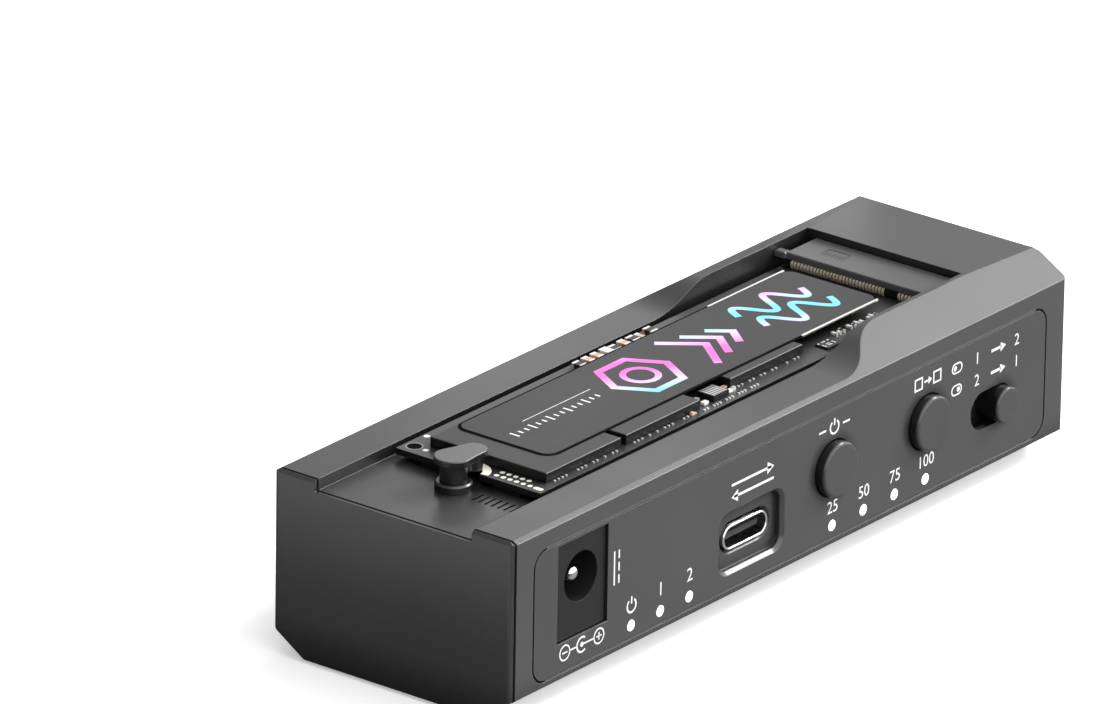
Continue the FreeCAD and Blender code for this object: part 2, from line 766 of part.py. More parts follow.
# ---- Data socket and power jack --------------------------------------------------------------
def usb_c_shell():
    """Pressed metal shell of the reversible socket, with four board legs."""
    outer = pill(usb_middle, usb_axis, usb_width, usb_height, usb_front, usb_back)
    hollow = pill(usb_middle, usb_axis, usb_width - 2 * usb_shell, usb_height - 2 * usb_shell,
                  usb_front - 1, usb_back - usb_back_wall)
    leg_top = usb_axis - usb_height / 2 + usb_shell * 2 / 3
    legs = [block(x - usb_leg_width / 2, x + usb_leg_width / 2, y - usb_leg_depth / 2, y + usb_leg_depth / 2,
                  board_top, leg_top)
            for x in (usb_middle - usb_leg_spread, usb_middle + usb_leg_spread)
            for y in (usb_front + usb_depth / 2, usb_back - usb_leg_depth)]
    return join(outer, legs).cut(hollow)


def usb_c_tongue():
    """Plastic tongue in the middle of the shell, standing on the closed back."""
    y1 = usb_back - usb_back_wall
    tongue = rounded_window(usb_middle, usb_axis, usb_tongue_width, usb_tongue_thickness,
                            usb_tongue_thickness / 4, usb_floor + usb_tongue_setback, y1)
    root = pill(usb_middle, usb_axis, usb_width - 2 * usb_shell - fit_gap,
                usb_height - 2 * usb_shell - fit_gap, y1 - usb_root, y1)
    return join(tongue, [root])


def dc_jack_body():
    """Square-faced power jack, standing between the main board and the bay floor."""
    body = block(jack_middle - jack_width / 2, jack_middle + jack_width / 2, jack_front,
                 jack_front + jack_depth, board_top, ceiling)
    rear = [e for e in body.Edges if e.BoundBox.YMin > jack_front + jack_depth - 0.001]
    body = body.makeChamfer(jack_chamfer, rear)
    bore = rod_y(jack_middle, jack_axis, jack_bore_radius, jack_front - 1, jack_front + jack_bore_depth)
    return body.cut(bore)


def dc_jack_pin():
    pin = rod_y(jack_middle, jack_axis, jack_pin_radius, jack_front + jack_pin_setback,
                jack_front + jack_bore_depth)
    return round_front(pin, jack_pin_round)


def dc_jack_spring():
    """Side contact that presses on the plug's sleeve, bent up from the bottom of the bore."""
    reach = math.sqrt(jack_bore_radius ** 2 - (spring_width / 2) ** 2)
    seat = jack_axis - reach + running_gap / 2
    crest = jack_axis - jack_bore_radius + spring_lift
    y0 = jack_front + (jack_bore_depth - spring_run) * 0.75
    y3 = y0 + spring_run
    y1 = y0 + spring_run * 0.36
    y2 = y0 + spring_run * 0.57
    under = [(y0, seat), (y1, crest), (y2, crest), (y3, seat)]
    over = [(y, z + spring_thickness) for y, z in reversed(under)]
    face = loop_face([Vec(jack_middle - spring_width / 2, y, z) for y, z in under + over])
    return face.extrude(Vec(spring_width, 0, 0))


# ---- Buttons, slide knob and their switches --------------------------------------------------
def push_button(x):
    """Round cap with a rolled edge, a flange behind the wall and a stem to its switch."""
    cap = rod_y(x, button_axis, button_radius, front - button_stand, flange_back)
    cap = round_front(cap, button_round)
    flange = rod_y(x, button_axis, button_radius + flange_width, flange_front, flange_back)
    stem = rod_y(x, button_axis, stem_radius, flange_back, stem_tip)
    return join(cap, [flange, stem])


def button_plunger(x):
    """The switch's own plunger, which the stem pushes."""
    return rod_y(x, button_axis, plunger_radius, stem_tip, switch_front + plunger_seat)


def button_switch(x):
    """Tall right-angle push switch standing on the main board."""
    body = block(x - switch_half_width, x + switch_half_width, switch_front, switch_front + switch_depth,
                 board_top, button_axis + switch_half_width)
    body = chamfer_top(body, switch_chamfer)
    well = rod_y(x, button_axis, plunger_radius + fit_gap, switch_front - 1,
                 switch_front + plunger_seat + button_travel + switch_gap)
    return body.cut(well)


def slide_knob():
    """Round knob in the slot, its guide plate behind the wall and the peg that drives the switch."""
    cap = rod_y(knob_x, slot_axis, knob_radius, front - knob_stand, knob_plate_back)
    cap = round_front(cap, knob_round)
    plate = block(knob_x - knob_plate_half, knob_x + knob_plate_half, flange_front, knob_plate_back,
                  board_top + fit_gap, slot_axis + knob_plate_rise)
    peg = block(knob_x - peg_half, knob_x + peg_half, knob_plate_back, knob_plate_back + peg_length,
                slot_axis - peg_half, slot_axis + peg_half)
    return join(cap, [plate, peg])


def slide_switch():
    """Slide switch standing on the main board, with a channel for the knob's peg."""
    y0 = flange_front + slide_switch_back
    body = block(slot_middle - slide_switch_half, slot_middle + slide_switch_half, y0,
                 y0 + slide_switch_depth, board_top, slot_axis + slide_switch_rise)
    channel_half = knob_travel / 2 + peg_half + channel_end_play
    channel = block(slot_middle - channel_half, slot_middle + channel_half, y0 - 1,
                    knob_plate_back + peg_length + 3 * channel_play, slot_axis - peg_half - channel_play,
                    slot_axis + peg_half + channel_play)
    return body.cut(channel)


# ---- Latch -----------------------------------------------------------------------------------
def latch_base():
    """Collar pressed into the bay floor; the latch turns in its bore."""
    ring_top = bay_floor + latch_ring_height
    nut_bottom = ceiling - latch_nut_height
    stem = rod_z(latch_x, 0, latch_shaft_radius, nut_bottom, bay_floor)
    ring = chamfer_top(rod_z(latch_x, 0, latch_ring_radius, bay_floor, ring_top), latch_ring_chamfer)
    nut = rod_z(latch_x, 0, latch_shaft_radius + latch_nut_flange, nut_bottom, ceiling)
    bore = rod_z(latch_x, 0, latch_pin_radius + running_gap, nut_bottom - 1, ring_top + 1)
    return join(ring, [stem, nut]).cut(bore)


def latch_outline(head_radius, toe_radius, z0, z1):
    """Two discs joined by a neck: the head over the axis and the toe over the drive's end."""
    angle = math.radians(latch_rest_angle)
    neck_half = toe_radius * latch_neck_share
    neck = block(0, latch_arm, -neck_half, neck_half, z0, z1)
    neck.rotate(Vec(0, 0, 0), Vec(0, 0, 1), latch_rest_angle)
    neck.translate(Vec(latch_x, 0, 0))
    toe = rod_z(latch_x + latch_arm * math.cos(angle), latch_arm * math.sin(angle), toe_radius, z0, z1)
    return join(rod_z(latch_x, 0, head_radius, z0, z1), [toe, neck])


def latch_knob():
    """Turning latch: pin in the collar, shaft, and a head whose toe holds the drive down."""
    head_low = latch_top - latch_head_thickness
    head = latch_outline(latch_head_radius, latch_toe_radius, head_low, latch_top)
    head = chamfer_top(head, latch_head_chamfer)
    foot = latch_outline(latch_foot_radius, latch_foot_radius, drive_top + latch_clearance, head_low)
    shaft = rod_z(latch_x, 0, latch_shaft_radius, bay_floor + latch_ring_height + running_gap, head_low)
    pin = rod_z(latch_x, 0, latch_pin_radius, ceiling - latch_nut_height / 2, head_low)
    return join(head, [foot, shaft, pin])


# ---- Solid-state drive -----------------------------------------------------------------------
def drive_board():
    board = block(drive_end, drive_tip - drive_tongue_length, -drive_half, drive_half,
                  drive_bottom, drive_top)
    tongue = block(drive_tip - drive_tongue_length, drive_tip, -tongue_half, tongue_half,
                   drive_bottom, drive_top)
    key = block(drive_tip - key_depth, drive_tip + 1, key_y - key_width / 2, key_y + key_width / 2,
                drive_bottom - 1, drive_top + 1)
    notch = rod_z(drive_end, 0, drive_notch_radius, drive_bottom - 1, drive_top + 1)
    return join(board, [tongue]).cut([key, notch])


def drive_chip(start, y_low, y_high):
    """Moulded chip on the drive."""
    return chamfer_top(block(start, start + memory_span, y_low, y_high, drive_top, chips_top), chip_chamfer)


def drive_label():
    """Sheet-metal label that lies on the chips and spreads their heat."""
    return rounded_slab(drive_end + label_inset_x, drive_tip - label_inset_x, -drive_half + label_inset_front,
                        drive_half - label_inset_back, label_corner, chips_top, chips_top + label_thickness)


def drive_small_parts():
    """Capacitors in a row along each long edge of the drive, and a regulator between the chips."""
    top = drive_top + capacitor_height
    parts = []
    back_row = memory_starts[-1] + memory_span
    for i in range(back_capacitors):
        x = back_row + i * capacitor_pitch
        parts.append(block(x, x + capacitor_width, drive_half - capacitor_margin - capacitor_depth,
                           drive_half - capacitor_margin, drive_top, top))
    front_row = controller_start + memory_span + 2 * part_gap
    for i in range(front_capacitors):
        x = front_row + i * capacitor_pitch
        parts.append(block(x, x + capacitor_width, chip_front, chip_front + capacitor_depth, drive_top, top))
    regulator = memory_starts[-1] + memory_span + 2 * part_gap
    parts.append(block(regulator, regulator + regulator_span, chip_front + part_gap,
                       chip_front + part_gap + regulator_span, drive_top, drive_top + regulator_height))
    return Part.makeCompound(parts)


# ---- Build and write -------------------------------------------------------------------------
nodes = {
    "top_housing": top_housing(),
    "bottom_cover": bottom_cover(),
    "front_panel": front_panel(),
    "rubber_pad": rubber_pad(),
    "housing_screws": housing_screws(),
    "board_screws": board_screws(),
    "main_board": main_board(),
    "upper_board": upper_board(),
    "board_link": board_link(),
    "bridge_chip": bridge_chip(),
    "copy_chip": copy_chip(),
    "board_lights": board_lights(),
    "m2_socket": m2_socket(),
    "m2_contacts": m2_contacts(),
    "connector_plate": connector_plate(),
    "sata_socket": sata_socket(),
    "sata_contacts": sata_contacts(),
    "usb_c_shell": usb_c_shell(),
    "usb_c_tongue": usb_c_tongue(),
    "dc_jack_body": dc_jack_body(),
    "dc_jack_pin": dc_jack_pin(),
    "dc_jack_spring": dc_jack_spring(),
    "slide_knob": slide_knob(),
    "slide_switch": slide_switch(),
    "latch_base": latch_base(),
    "latch_knob": latch_knob(),
    "drive_board": drive_board(),
    "drive_memory_1": drive_chip(memory_starts[0], chip_front, memory_back),
    "drive_memory_2": drive_chip(memory_starts[1], chip_front, memory_back),
    "drive_controller": drive_chip(controller_start, controller_front, controller_back),
    "drive_label": drive_label(),
    "drive_small_parts": drive_small_parts(),
}
for name, x in zip(("power", "copy"), button_places):
    nodes[name + "_button"] = push_button(x)
    nodes[name + "_plunger"] = button_plunger(x)
    nodes[name + "_switch"] = button_switch(x)
for number, x in enumerate(light_places, start=1):
    nodes["light_pipe_%d" % number] = light_pipe(x)

for name, shape in nodes.items():
    shape.exportStep("parts/" + name + ".step")
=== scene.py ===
import math

import bpy
import numpy as np
from mathutils import Matrix, Vector


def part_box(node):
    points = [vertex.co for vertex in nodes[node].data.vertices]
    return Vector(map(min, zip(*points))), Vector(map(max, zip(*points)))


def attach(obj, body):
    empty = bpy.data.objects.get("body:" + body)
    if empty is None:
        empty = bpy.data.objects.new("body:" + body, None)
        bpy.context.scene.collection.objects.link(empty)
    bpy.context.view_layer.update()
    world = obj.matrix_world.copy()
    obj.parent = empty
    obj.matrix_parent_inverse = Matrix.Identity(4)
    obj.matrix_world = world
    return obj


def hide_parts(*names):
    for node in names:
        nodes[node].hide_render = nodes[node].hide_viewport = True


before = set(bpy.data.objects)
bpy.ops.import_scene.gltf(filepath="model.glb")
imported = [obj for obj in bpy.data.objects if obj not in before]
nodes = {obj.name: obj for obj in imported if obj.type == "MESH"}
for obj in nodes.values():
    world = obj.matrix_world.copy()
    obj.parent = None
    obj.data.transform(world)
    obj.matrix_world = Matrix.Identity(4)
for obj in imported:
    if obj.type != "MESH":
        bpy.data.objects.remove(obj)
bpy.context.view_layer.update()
mm = 0.001

# ==== Housing and bottom cover =================================================================
# Two moulded shells in dark space-grey plastic with a fine satin texture. The upper one carries the
# open bay and the raised socket end, the lower one the base band that slopes in to the desk.
shell_colour = (0.060, 0.060, 0.0615)
shell_roughness = 0.287
shell_grain = 0.16 * mm
shell_edge_radius = 0.16 * mm


def feed(tree, socket, value):
    """Link a socket to another one, or set it to a plain number or colour."""
    if isinstance(value, bpy.types.NodeSocket):
        tree.links.new(value, socket)
    else:
        socket.default_value = value


def reckon(tree, operation, first, second=0.0):
    """Math node on two numbers or sockets."""
    node = tree.nodes.new("ShaderNodeMath")
    node.operation = operation
    feed(tree, node.inputs[0], first)
    feed(tree, node.inputs[1], second)
    return node.outputs["Value"]


def spread(tree, value, from_low, from_high, to_low, to_high, kind="LINEAR"):
    """Map the stretch from_low..from_high of a value to to_low..to_high, clamped at both ends."""
    node = tree.nodes.new("ShaderNodeMapRange")
    node.interpolation_type = kind
    node.inputs["From Min"].default_value = from_low
    node.inputs["From Max"].default_value = from_high
    node.inputs["To Min"].default_value = to_low
    node.inputs["To Max"].default_value = to_high
    tree.links.new(value, node.inputs["Value"])
    return node.outputs["Result"]


def blend(tree, factor, first, second):
    """Colour between two, each of them a plain colour or a socket."""
    node = tree.nodes.new("ShaderNodeMix")
    node.data_type = "RGBA"
    tree.links.new(factor, node.inputs["Factor"])
    feed(tree, node.inputs["A"], first)
    feed(tree, node.inputs["B"], second)
    return node.outputs["Result"]


def projection(tree, vector, axis):
    """Dot product of a vector socket with an axis, which is plain numbers or another socket."""
    node = tree.nodes.new("ShaderNodeVectorMath")
    node.operation = "DOT_PRODUCT"
    tree.links.new(vector, node.inputs[0])
    feed(tree, node.inputs[1], axis)
    return node.outputs["Value"]


def scaled(colour, share):
    """Colour times a share, no channel above 1, with full opacity."""
    return (*[min(c * share, 1.0) for c in colour], 1.0)


def finish(name, colour, roughness, grain, depth, edge_radius, mottle=0.04, metal=0.0, edge_highlight=0.0,
           shade_reach=0.0, side=1.0, looks="Z"):
    """Solid finish: base colour times a slow mottle, roughness with a medium drift, and a bump that is
    fine grain noise on top of the normal rounded over the sharp edges within edge_radius. The edges get
    a painted highlight, lighter by the edge highlight share. Painted shade darkens the colour where other
    surfaces stand closer than the shade reach. Faces that look along the looks axis keep the colour;
    those square to it are painted darker as shade and keep only the side share."""
    mottle_size = 14 * mm
    drift_size = 8 * mm
    drift = 0.012
    highlight_gain = 2.2
    highlight_start, highlight_end = 0.995, 0.90
    shade_power = 3.2
    shade_share = 0.12
    material = bpy.data.materials.new(name)
    material.use_nodes = True
    tree = material.node_tree
    shader = tree.nodes["Principled BSDF"]
    shader.inputs["Metallic"].default_value = metal
    place = tree.nodes.new("ShaderNodeTexCoord")

    def noise(size, detail):
        """Noise in the object's own coordinates, whose swells are about size long."""
        node = tree.nodes.new("ShaderNodeTexNoise")
        node.inputs["Scale"].default_value = 1.0 / size
        node.inputs["Detail"].default_value = detail
        tree.links.new(place.outputs["Object"], node.inputs["Vector"])
        return node.outputs["Fac"]

    slow = spread(tree, noise(mottle_size, 1.0), 0.2, 0.8, 0.0, 1.0, "SMOOTHSTEP")
    tone = blend(tree, slow, scaled(colour, 1.0 - mottle), scaled(colour, 1.0 + mottle))
    gloss = spread(tree, noise(drift_size, 1.0), 0.2, 0.8, roughness - drift, roughness + drift, "SMOOTHSTEP")
    tree.links.new(gloss, shader.inputs["Roughness"])
    bump = tree.nodes.new("ShaderNodeBump")
    bump.inputs["Strength"].default_value = 1.0
    bump.inputs["Distance"].default_value = depth
    tree.links.new(noise(grain, 2.0), bump.inputs["Height"])
    tree.links.new(bump.outputs["Normal"], shader.inputs["Normal"])
    if edge_radius > 0:
        rounded = tree.nodes.new("ShaderNodeBevel")
        rounded.samples = 6
        rounded.inputs["Radius"].default_value = edge_radius
        tree.links.new(rounded.outputs["Normal"], bump.inputs["Normal"])
        # Painted highlight: the colour turns lighter where the rounded normal leaves the flat one.
        if edge_highlight > 0:
            flat = tree.nodes.new("ShaderNodeNewGeometry")
            level = projection(tree, rounded.outputs["Normal"], flat.outputs["Normal"])
            painted_edge_highlight = spread(tree, level, highlight_start, highlight_end, 0.0, edge_highlight)
            tone = blend(tree, painted_edge_highlight, tone, scaled(colour, highlight_gain))
    # Painted shade: faces square to the looks axis are painted darker.
    if side < 1:
        facing = tree.nodes.new("ShaderNodeSeparateXYZ")
        tree.links.new(place.outputs["Normal"], facing.inputs["Vector"])
        tone = blend(tree, reckon(tree, "ABSOLUTE", facing.outputs[looks]), scaled(colour, side), tone)
    # Painted shade: the colour is darker where other surfaces stand close.
    if shade_reach > 0:
        nearness = tree.nodes.new("ShaderNodeAmbientOcclusion")
        nearness.samples = 6
        nearness.inputs["Distance"].default_value = shade_reach
        openness = reckon(tree, "POWER", nearness.outputs["AO"], shade_power)
        tone = blend(tree, openness, scaled(colour, shade_share), tone)
    tree.links.new(tone, shader.inputs["Base Color"])
    return material


def wear(node, material):
    """Give a CAD node its finish in every material slot."""
    for slot in nodes[node].material_slots:
        slot.material = material


# Painted highlight along the sharp edges, and painted shade that darkens the bay, recesses and corners near
# other surfaces.
housing_finish = finish("satin_space_grey", shell_colour, shell_roughness, shell_grain, 0.004 * mm,
                        shell_edge_radius, edge_highlight=0.35, shade_reach=6.5 * mm)
wear("top_housing", housing_finish)
wear("bottom_cover", housing_finish)

# ==== Front panel ==============================================================================
# A thin moulded plate that drops into a rounded recess of the front, in the housing's colour with a
# slightly smoother texture. The joint round it is a dark line at the ends; along its top and foot two
# strips of the housing's plastic, flush with the front, narrow it to a faint one.
panel_low, panel_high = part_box("front_panel")
front_y = panel_low.y
# Painted highlight along its edges, and painted shade near the recess walls, buttons and sockets.
panel_finish = finish("satin_panel_grey", (0.058, 0.058, 0.0595), 0.26, 0.14 * mm, 0.0015 * mm, 0.12 * mm,
                      edge_highlight=0.35, shade_reach=1.6 * mm)
wear("front_panel", panel_finish)


def raise_piece(name, solids, materials, body="dock", smooth=False):
    """One object out of many small solids, each with its own material numbers."""
    points, faces, numbers, start = [], [], [], 0
    for solid_points, solid_faces, solid_numbers in solids:
        points.append(solid_points)
        faces += [tuple(int(v) + start for v in face) for face in solid_faces]
        numbers += solid_numbers
        start += len(solid_points)
    mesh = bpy.data.meshes.new(name)
    mesh.from_pydata(np.vstack(points).tolist(), [], faces)
    for material in materials:
        mesh.materials.append(material)
    mesh.polygons.foreach_set("material_index", numbers)
    mesh.polygons.foreach_set("use_smooth", [smooth] * len(faces))
    piece = bpy.data.objects.new(name, mesh)
    bpy.context.scene.collection.objects.link(piece)
    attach(piece, body)
    return piece


def cuboid(x0, x1, y0, y1, z0, z1, material=0):
    """Eight corners, six outward faces and the material number of each face."""
    z, y, x = np.meshgrid((z0, z1), (y0, y1), (x0, x1), indexing="ij")
    points = np.stack([x, y, z], 3).reshape(-1, 3)
    faces = [(0, 2, 3, 1), (4, 5, 7, 6), (0, 1, 5, 4), (1, 3, 7, 5), (3, 2, 6, 7), (2, 0, 4, 6)]
    return points, faces, [material] * 6


panel_corner = 2.2 * mm
joint_inner = 0.08 * mm
joint_outer = 0.25 * mm
strip_back = front_y + 0.5 * mm
strips = [cuboid(panel_low.x + panel_corner, panel_high.x - panel_corner, front_y, strip_back, z0, z1)
          for z0, z1 in ((panel_high.z + joint_inner, panel_high.z + joint_outer),
                         (panel_low.z - joint_outer, panel_low.z - joint_inner))]
raise_piece("panel_joint_strips", strips, [housing_finish])

# ==== White print on the front panel ===========================================================
# Screen-printed signs in matt white ink: two standby signs, lamp numbers, quarter marks, the plug's
# polarity and current, a link sign, a copy sign and two small diagrams of the slide switch.
ink_lift = 0.015 * mm
ink_line = 0.26 * mm


def stroke(points, width, closed=False):
    """Flat line of even width: the centre line moved half a width to each side, square to its course,
    and at a bend by that over the cosine of half the turn."""
    path = np.array(points, float)
    ahead = np.roll(path, -1, axis=0) if closed else np.vstack([path[1:], path[-1:]])
    behind = np.roll(path, 1, axis=0) if closed else np.vstack([path[:1], path[:-1]])
    course = ahead - behind
    course /= np.linalg.norm(course, axis=1, keepdims=True)
    side = np.stack([-course[:, 1], course[:, 0]], 1)
    before = path - behind
    length = np.maximum(np.linalg.norm(before, axis=1), 1e-12)
    bend = np.abs((side * np.stack([-before[:, 1], before[:, 0]], 1)).sum(1)) / length
    reach = np.where(bend > 0.3, width / 2 / np.maximum(bend, 0.3), width / 2)[:, None]
    if not closed:
        reach[0] = width / 2
    count = len(path)
    last = count if closed else count - 1
    i = np.arange(last)
    j = (i + 1) % count
    quads = np.stack([i, j, j + count, i + count], 1)
    return np.vstack([path - side * reach, path + side * reach]), [tuple(q) for q in quads]


def arc(centre, radius, start, end, steps=32):
    """Points on a circle from one angle to another, in degrees."""
    turn = np.radians(np.linspace(start, end, steps))
    return np.stack([centre[0] + radius * np.cos(turn), centre[1] + radius * np.sin(turn)], 1)


def patch(points):
    """One flat face inside an outline."""
    path = np.array(points, float)
    return path, [tuple(range(len(path)))]


def digits(text, height, centre):
    """Plain numerals of a given height about a centre, as flat faces."""
    curve = bpy.data.curves.new("numeral", "FONT")
    curve.body = text
    curve.align_x = "CENTER"
    curve.resolution_u = 4
    holder = bpy.data.objects.new("numeral", curve)
    bpy.context.scene.collection.objects.link(holder)
    bpy.context.view_layer.update()
    flat = bpy.data.meshes.new_from_object(holder)
    points = np.empty(len(flat.vertices) * 3)
    flat.vertices.foreach_get("co", points)
    points = points.reshape(-1, 3)[:, :2]
    faces = [tuple(p.vertices) for p in flat.polygons]
    bpy.data.objects.remove(holder)
    bpy.data.curves.remove(curve)
    bpy.data.meshes.remove(flat)
    tall = points[:, 1].max() - points[:, 1].min()
    points = (points - [0, points[:, 1].min() + tall / 2]) * (height / tall)
    return points + np.array(centre), faces


def outward(points, face):
    """The face with its corners counter-clockwise in its two flat coordinates."""
    u, v = points[list(face), 0], points[list(face), 1]
    area = np.sum(u * np.roll(v, -1) - np.roll(u, -1) * v)
    return face if area > 0 else face[::-1]


def lay(name, shapes, place, material, body="dock"):
    """Join flat shapes into one film: place turns their two flat coordinates into the row frame."""
    points, faces, start = [], [], 0
    for shape_points, shape_faces in shapes:
        points.append(shape_points)
        faces += [tuple(int(v) + start for v in outward(shape_points, face)) for face in shape_faces]
        start += len(shape_points)
    mesh = bpy.data.meshes.new(name)
    mesh.from_pydata(place(np.vstack(points)).tolist(), [], faces)
    mesh.materials.append(material)
    piece = bpy.data.objects.new(name, mesh)
    bpy.context.scene.collection.objects.link(piece)
    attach(piece, body)


def on_front(points):
    """Flat (x, z) drawn on the front face, just proud of it."""
    return np.stack([points[:, 0], np.full(len(points), front_y - ink_lift), points[:, 1]], 1)


def middle(node):
    """Centre of a node's box."""
    lowest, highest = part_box(node)
    return (lowest + highest) / 2


def standby(centre, bar_top):
    """Broken ring with an upright bar through its gap."""
    return [stroke(arc(centre, 0.85 * mm, 125, 415), ink_line),
            stroke([centre + [0, 0.25 * mm], centre + [0, bar_top]], ink_line)]


def arrow(tail, tip, width, head, half, overlap):
    """Level arrow: a head of its own length and half height, and a bar that ends overlap inside it."""
    way = math.copysign(1.0, tip[0] - tail[0])
    neck = tip - [way * (head - overlap), 0]
    return [stroke([tail, neck], width), patch([tip, tip + [-way * head, half], tip + [-way * head, -half]])]


ink = finish("white_ink", (0.80, 0.80, 0.80), 0.55, 0.05 * mm, 0.001 * mm, 0)
pipes = [middle("light_pipe_%d" % number) for number in range(1, 8)]
pipe_z = pipes[0].z
lamp_sign_z = pipe_z + 2.6 * mm
number_z, number_height = pipe_z + 2.9 * mm, 1.7 * mm
quarter_z, quarter_height = pipe_z + 2.5 * mm, 1.6 * mm
signs = standby(np.array([pipes[0].x, lamp_sign_z]), 1.2 * mm)
for number, pipe in zip("12", pipes[1:3]):
    signs.append(digits(number, number_height, (pipe.x, number_z)))
for number, pipe in zip(("25", "50", "75", "100"), pipes[3:]):
    signs.append(digits(number, quarter_height, (pipe.x, quarter_z)))

jack = middle("dc_jack_body")
jack_low, jack_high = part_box("dc_jack_body")
thin_line = 0.8 * ink_line
ring_gap = 3.3 * mm
ring_radius = 0.95 * mm
dot_radius = 0.32 * mm
bar_half = 0.5 * mm
sign_z = jack_low.z - 1.55 * mm
minus, plug, plus = [np.array([jack.x + step * ring_gap, sign_z]) for step in (-1, 0, 1)]
signs.append(stroke(arc(plug, ring_radius, 50, 310), ink_line))
signs.append(patch(arc(plug, dot_radius, 0, 345, 16)))
for centre in (minus, plus):
    signs.append(stroke(arc(centre, ring_radius, 0, 350, 36), thin_line, closed=True))
    signs.append(stroke([centre - [bar_half, 0], centre + [bar_half, 0]], thin_line))
signs.append(stroke([plus - [0, bar_half], plus + [0, bar_half]], thin_line))
signs.append(stroke([minus + [ring_radius, 0], plug - [ring_radius, 0]], thin_line))
signs.append(stroke([plug + [0.3 * mm, 0], plus - [ring_radius, 0]], thin_line))

direct = np.array([jack_high.x + 1.8 * mm, jack.z])
line_apart = 0.45 * mm
line_half = 2.2 * mm
dash_pitch = 1.6 * mm
dash_half = 0.55 * mm
signs.append(stroke([direct + [-line_apart, -line_half], direct + [-line_apart, line_half]], ink_line))
for row in (-1, 0, 1):
    dash = direct + [line_apart, row * dash_pitch]
    signs.append(stroke([dash - [0, dash_half], dash + [0, dash_half]], ink_line))

usb = middle("usb_c_shell")
link_sign = np.array([usb.x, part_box("usb_c_shell")[1].z + 5.0 * mm])
for side in (-1, 1):
    reach = side * np.array([4.2 * mm, 0])
    row_middle = link_sign + [0, side * 0.8 * mm]
    signs += arrow(row_middle - reach, row_middle + reach, 1.3 * ink_line, 1.3 * mm, 0.8 * mm, 0.8 * mm)

power_button = middle("power_button")
copy_button = middle("copy_button")
sign_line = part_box("power_button")[1].z + 1.0 * mm
start_sign = np.array([power_button.x, sign_line - 0.1 * mm])
signs += standby(start_sign, 1.15 * mm)
square_half = 0.72 * mm
copy_sign = np.array([copy_button.x, sign_line])
for side in (-1, 1):
    signs.append(stroke([start_sign + [side * 1.7 * mm, 0], start_sign + [side * 3.1 * mm, 0]], ink_line))
    square = [copy_sign + [side * 1.9 * mm + u * square_half, v * square_half]
              for u, v in ((-1, -1), (1, -1), (1, 1), (-1, 1))]
    signs.append(stroke(square, 0.9 * ink_line, closed=True))
signs += arrow(copy_sign - [0.75 * mm, 0], copy_sign + [0.8 * mm, 0], ink_line, 0.7 * mm, 0.5 * mm, 0.1 * mm)

knob = middle("slide_knob")
toggle_x = copy_button.x + 6.0 * mm
toggle_radius = 0.62 * mm
toggle_run = 0.6 * toggle_radius
first_x, arrow_start, arrow_end, second_x = 4.2 * mm, 7.1 * mm, 10.1 * mm, 12.4 * mm
mode_height = 1.5 * mm
for row_z, knob_side, first, second in ((7.3 * mm, -1, "1", "2"), (4.4 * mm, 1, "2", "1")):
    toggle = np.array([toggle_x, knob.z + row_z])
    toggle_edge = np.vstack([arc(toggle - [toggle_run, 0], toggle_radius, 90, 270, 12),
                             arc(toggle + [toggle_run, 0], toggle_radius, -90, 90, 12)])
    signs.append(stroke(toggle_edge, thin_line, closed=True))
    signs.append(patch(arc(toggle + [knob_side * toggle_run, 0], 0.55 * toggle_radius, 0, 345, 14)))
    signs.append(digits(first, mode_height, toggle + [first_x, 0]))
    signs += arrow(toggle + [arrow_start, 0], toggle + [arrow_end, 0], 1.5 * ink_line,
                   1.1 * mm, 0.62 * mm, 0.2 * mm)
    signs.append(digits(second, mode_height, toggle + [second_x, 0]))
lay("panel_print", signs, on_front, ink)

# ==== Light pipes ==============================================================================
# Clear rods whose ends lie flush with the front; each glows from the lamp behind it. The first one
# burns faint green, the others white.
glow_colours = [(0.72, 1.0, 0.62)] + [(1.0, 1.0, 0.98)] * 6
for number, colour in enumerate(glow_colours, start=1):
    lens = finish("lit_pipe_%d" % number, (0.86, 0.9, 0.86), 0.25, 0.2 * mm, 0.001 * mm, 0)
    shader = lens.node_tree.nodes["Principled BSDF"]
    shader.inputs["Emission Color"].default_value = (*colour, 1.0)
    shader.inputs["Emission Strength"].default_value = 1.1
    wear("light_pipe_%d" % number, lens)

# ==== Power jack ===============================================================================
# Black moulded block with a blind bore, a bronze side spring and a nickel-plated centre pin, which is
# turned with a domed tip and pressed into the bottom of the bore.
# Painted highlight along its edges.
jack_black = finish("jack_black", (0.013, 0.013, 0.0135), 0.42, 0.12 * mm, 0.003 * mm, 0.1 * mm,
                    edge_highlight=0.5)
jack_black.node_tree.nodes["Principled BSDF"].inputs["Specular IOR Level"].default_value = 0.3
wear("dc_jack_body", jack_black)
spring_bronze = finish("spring_bronze", (0.62, 0.46, 0.24), 0.30, 0.2 * mm, 0.002 * mm, 0, metal=1.0)
wear("dc_jack_spring", spring_bronze)
nickel = finish("bright_nickel", (0.78, 0.77, 0.75), 0.16, 0.3 * mm, 0.001 * mm, 0, metal=1.0)
wear("dc_jack_pin", nickel)


def walls(rings, count, start=0, closed=False):
    """Quads between neighbouring rings of count points each: corners (i, k), (i, k + 1), (i + 1, k + 1)
    and (i + 1, k), where point k of ring i has the number start + i count + k."""
    i = np.arange(rings if closed else rings - 1)[:, None]
    k = np.arange(count)[None, :]
    j = (i + 1) % rings
    n = (k + 1) % count
    corners = [i * count + k, i * count + n, j * count + n, j * count + k]
    return [tuple(quad) for quad in (start + np.stack(corners, 2)).reshape(-1, 4).tolist()]


def stacked(rings):
    """Closed solid through outlines of equal count, each counter-clockwise seen from the last one."""
    count = len(rings[0])
    last = (len(rings) - 1) * count
    faces = [tuple(reversed(range(count)))] + walls(len(rings), count) + [tuple(range(last, last + count))]
    return np.vstack(rings), faces, [0] * len(faces)


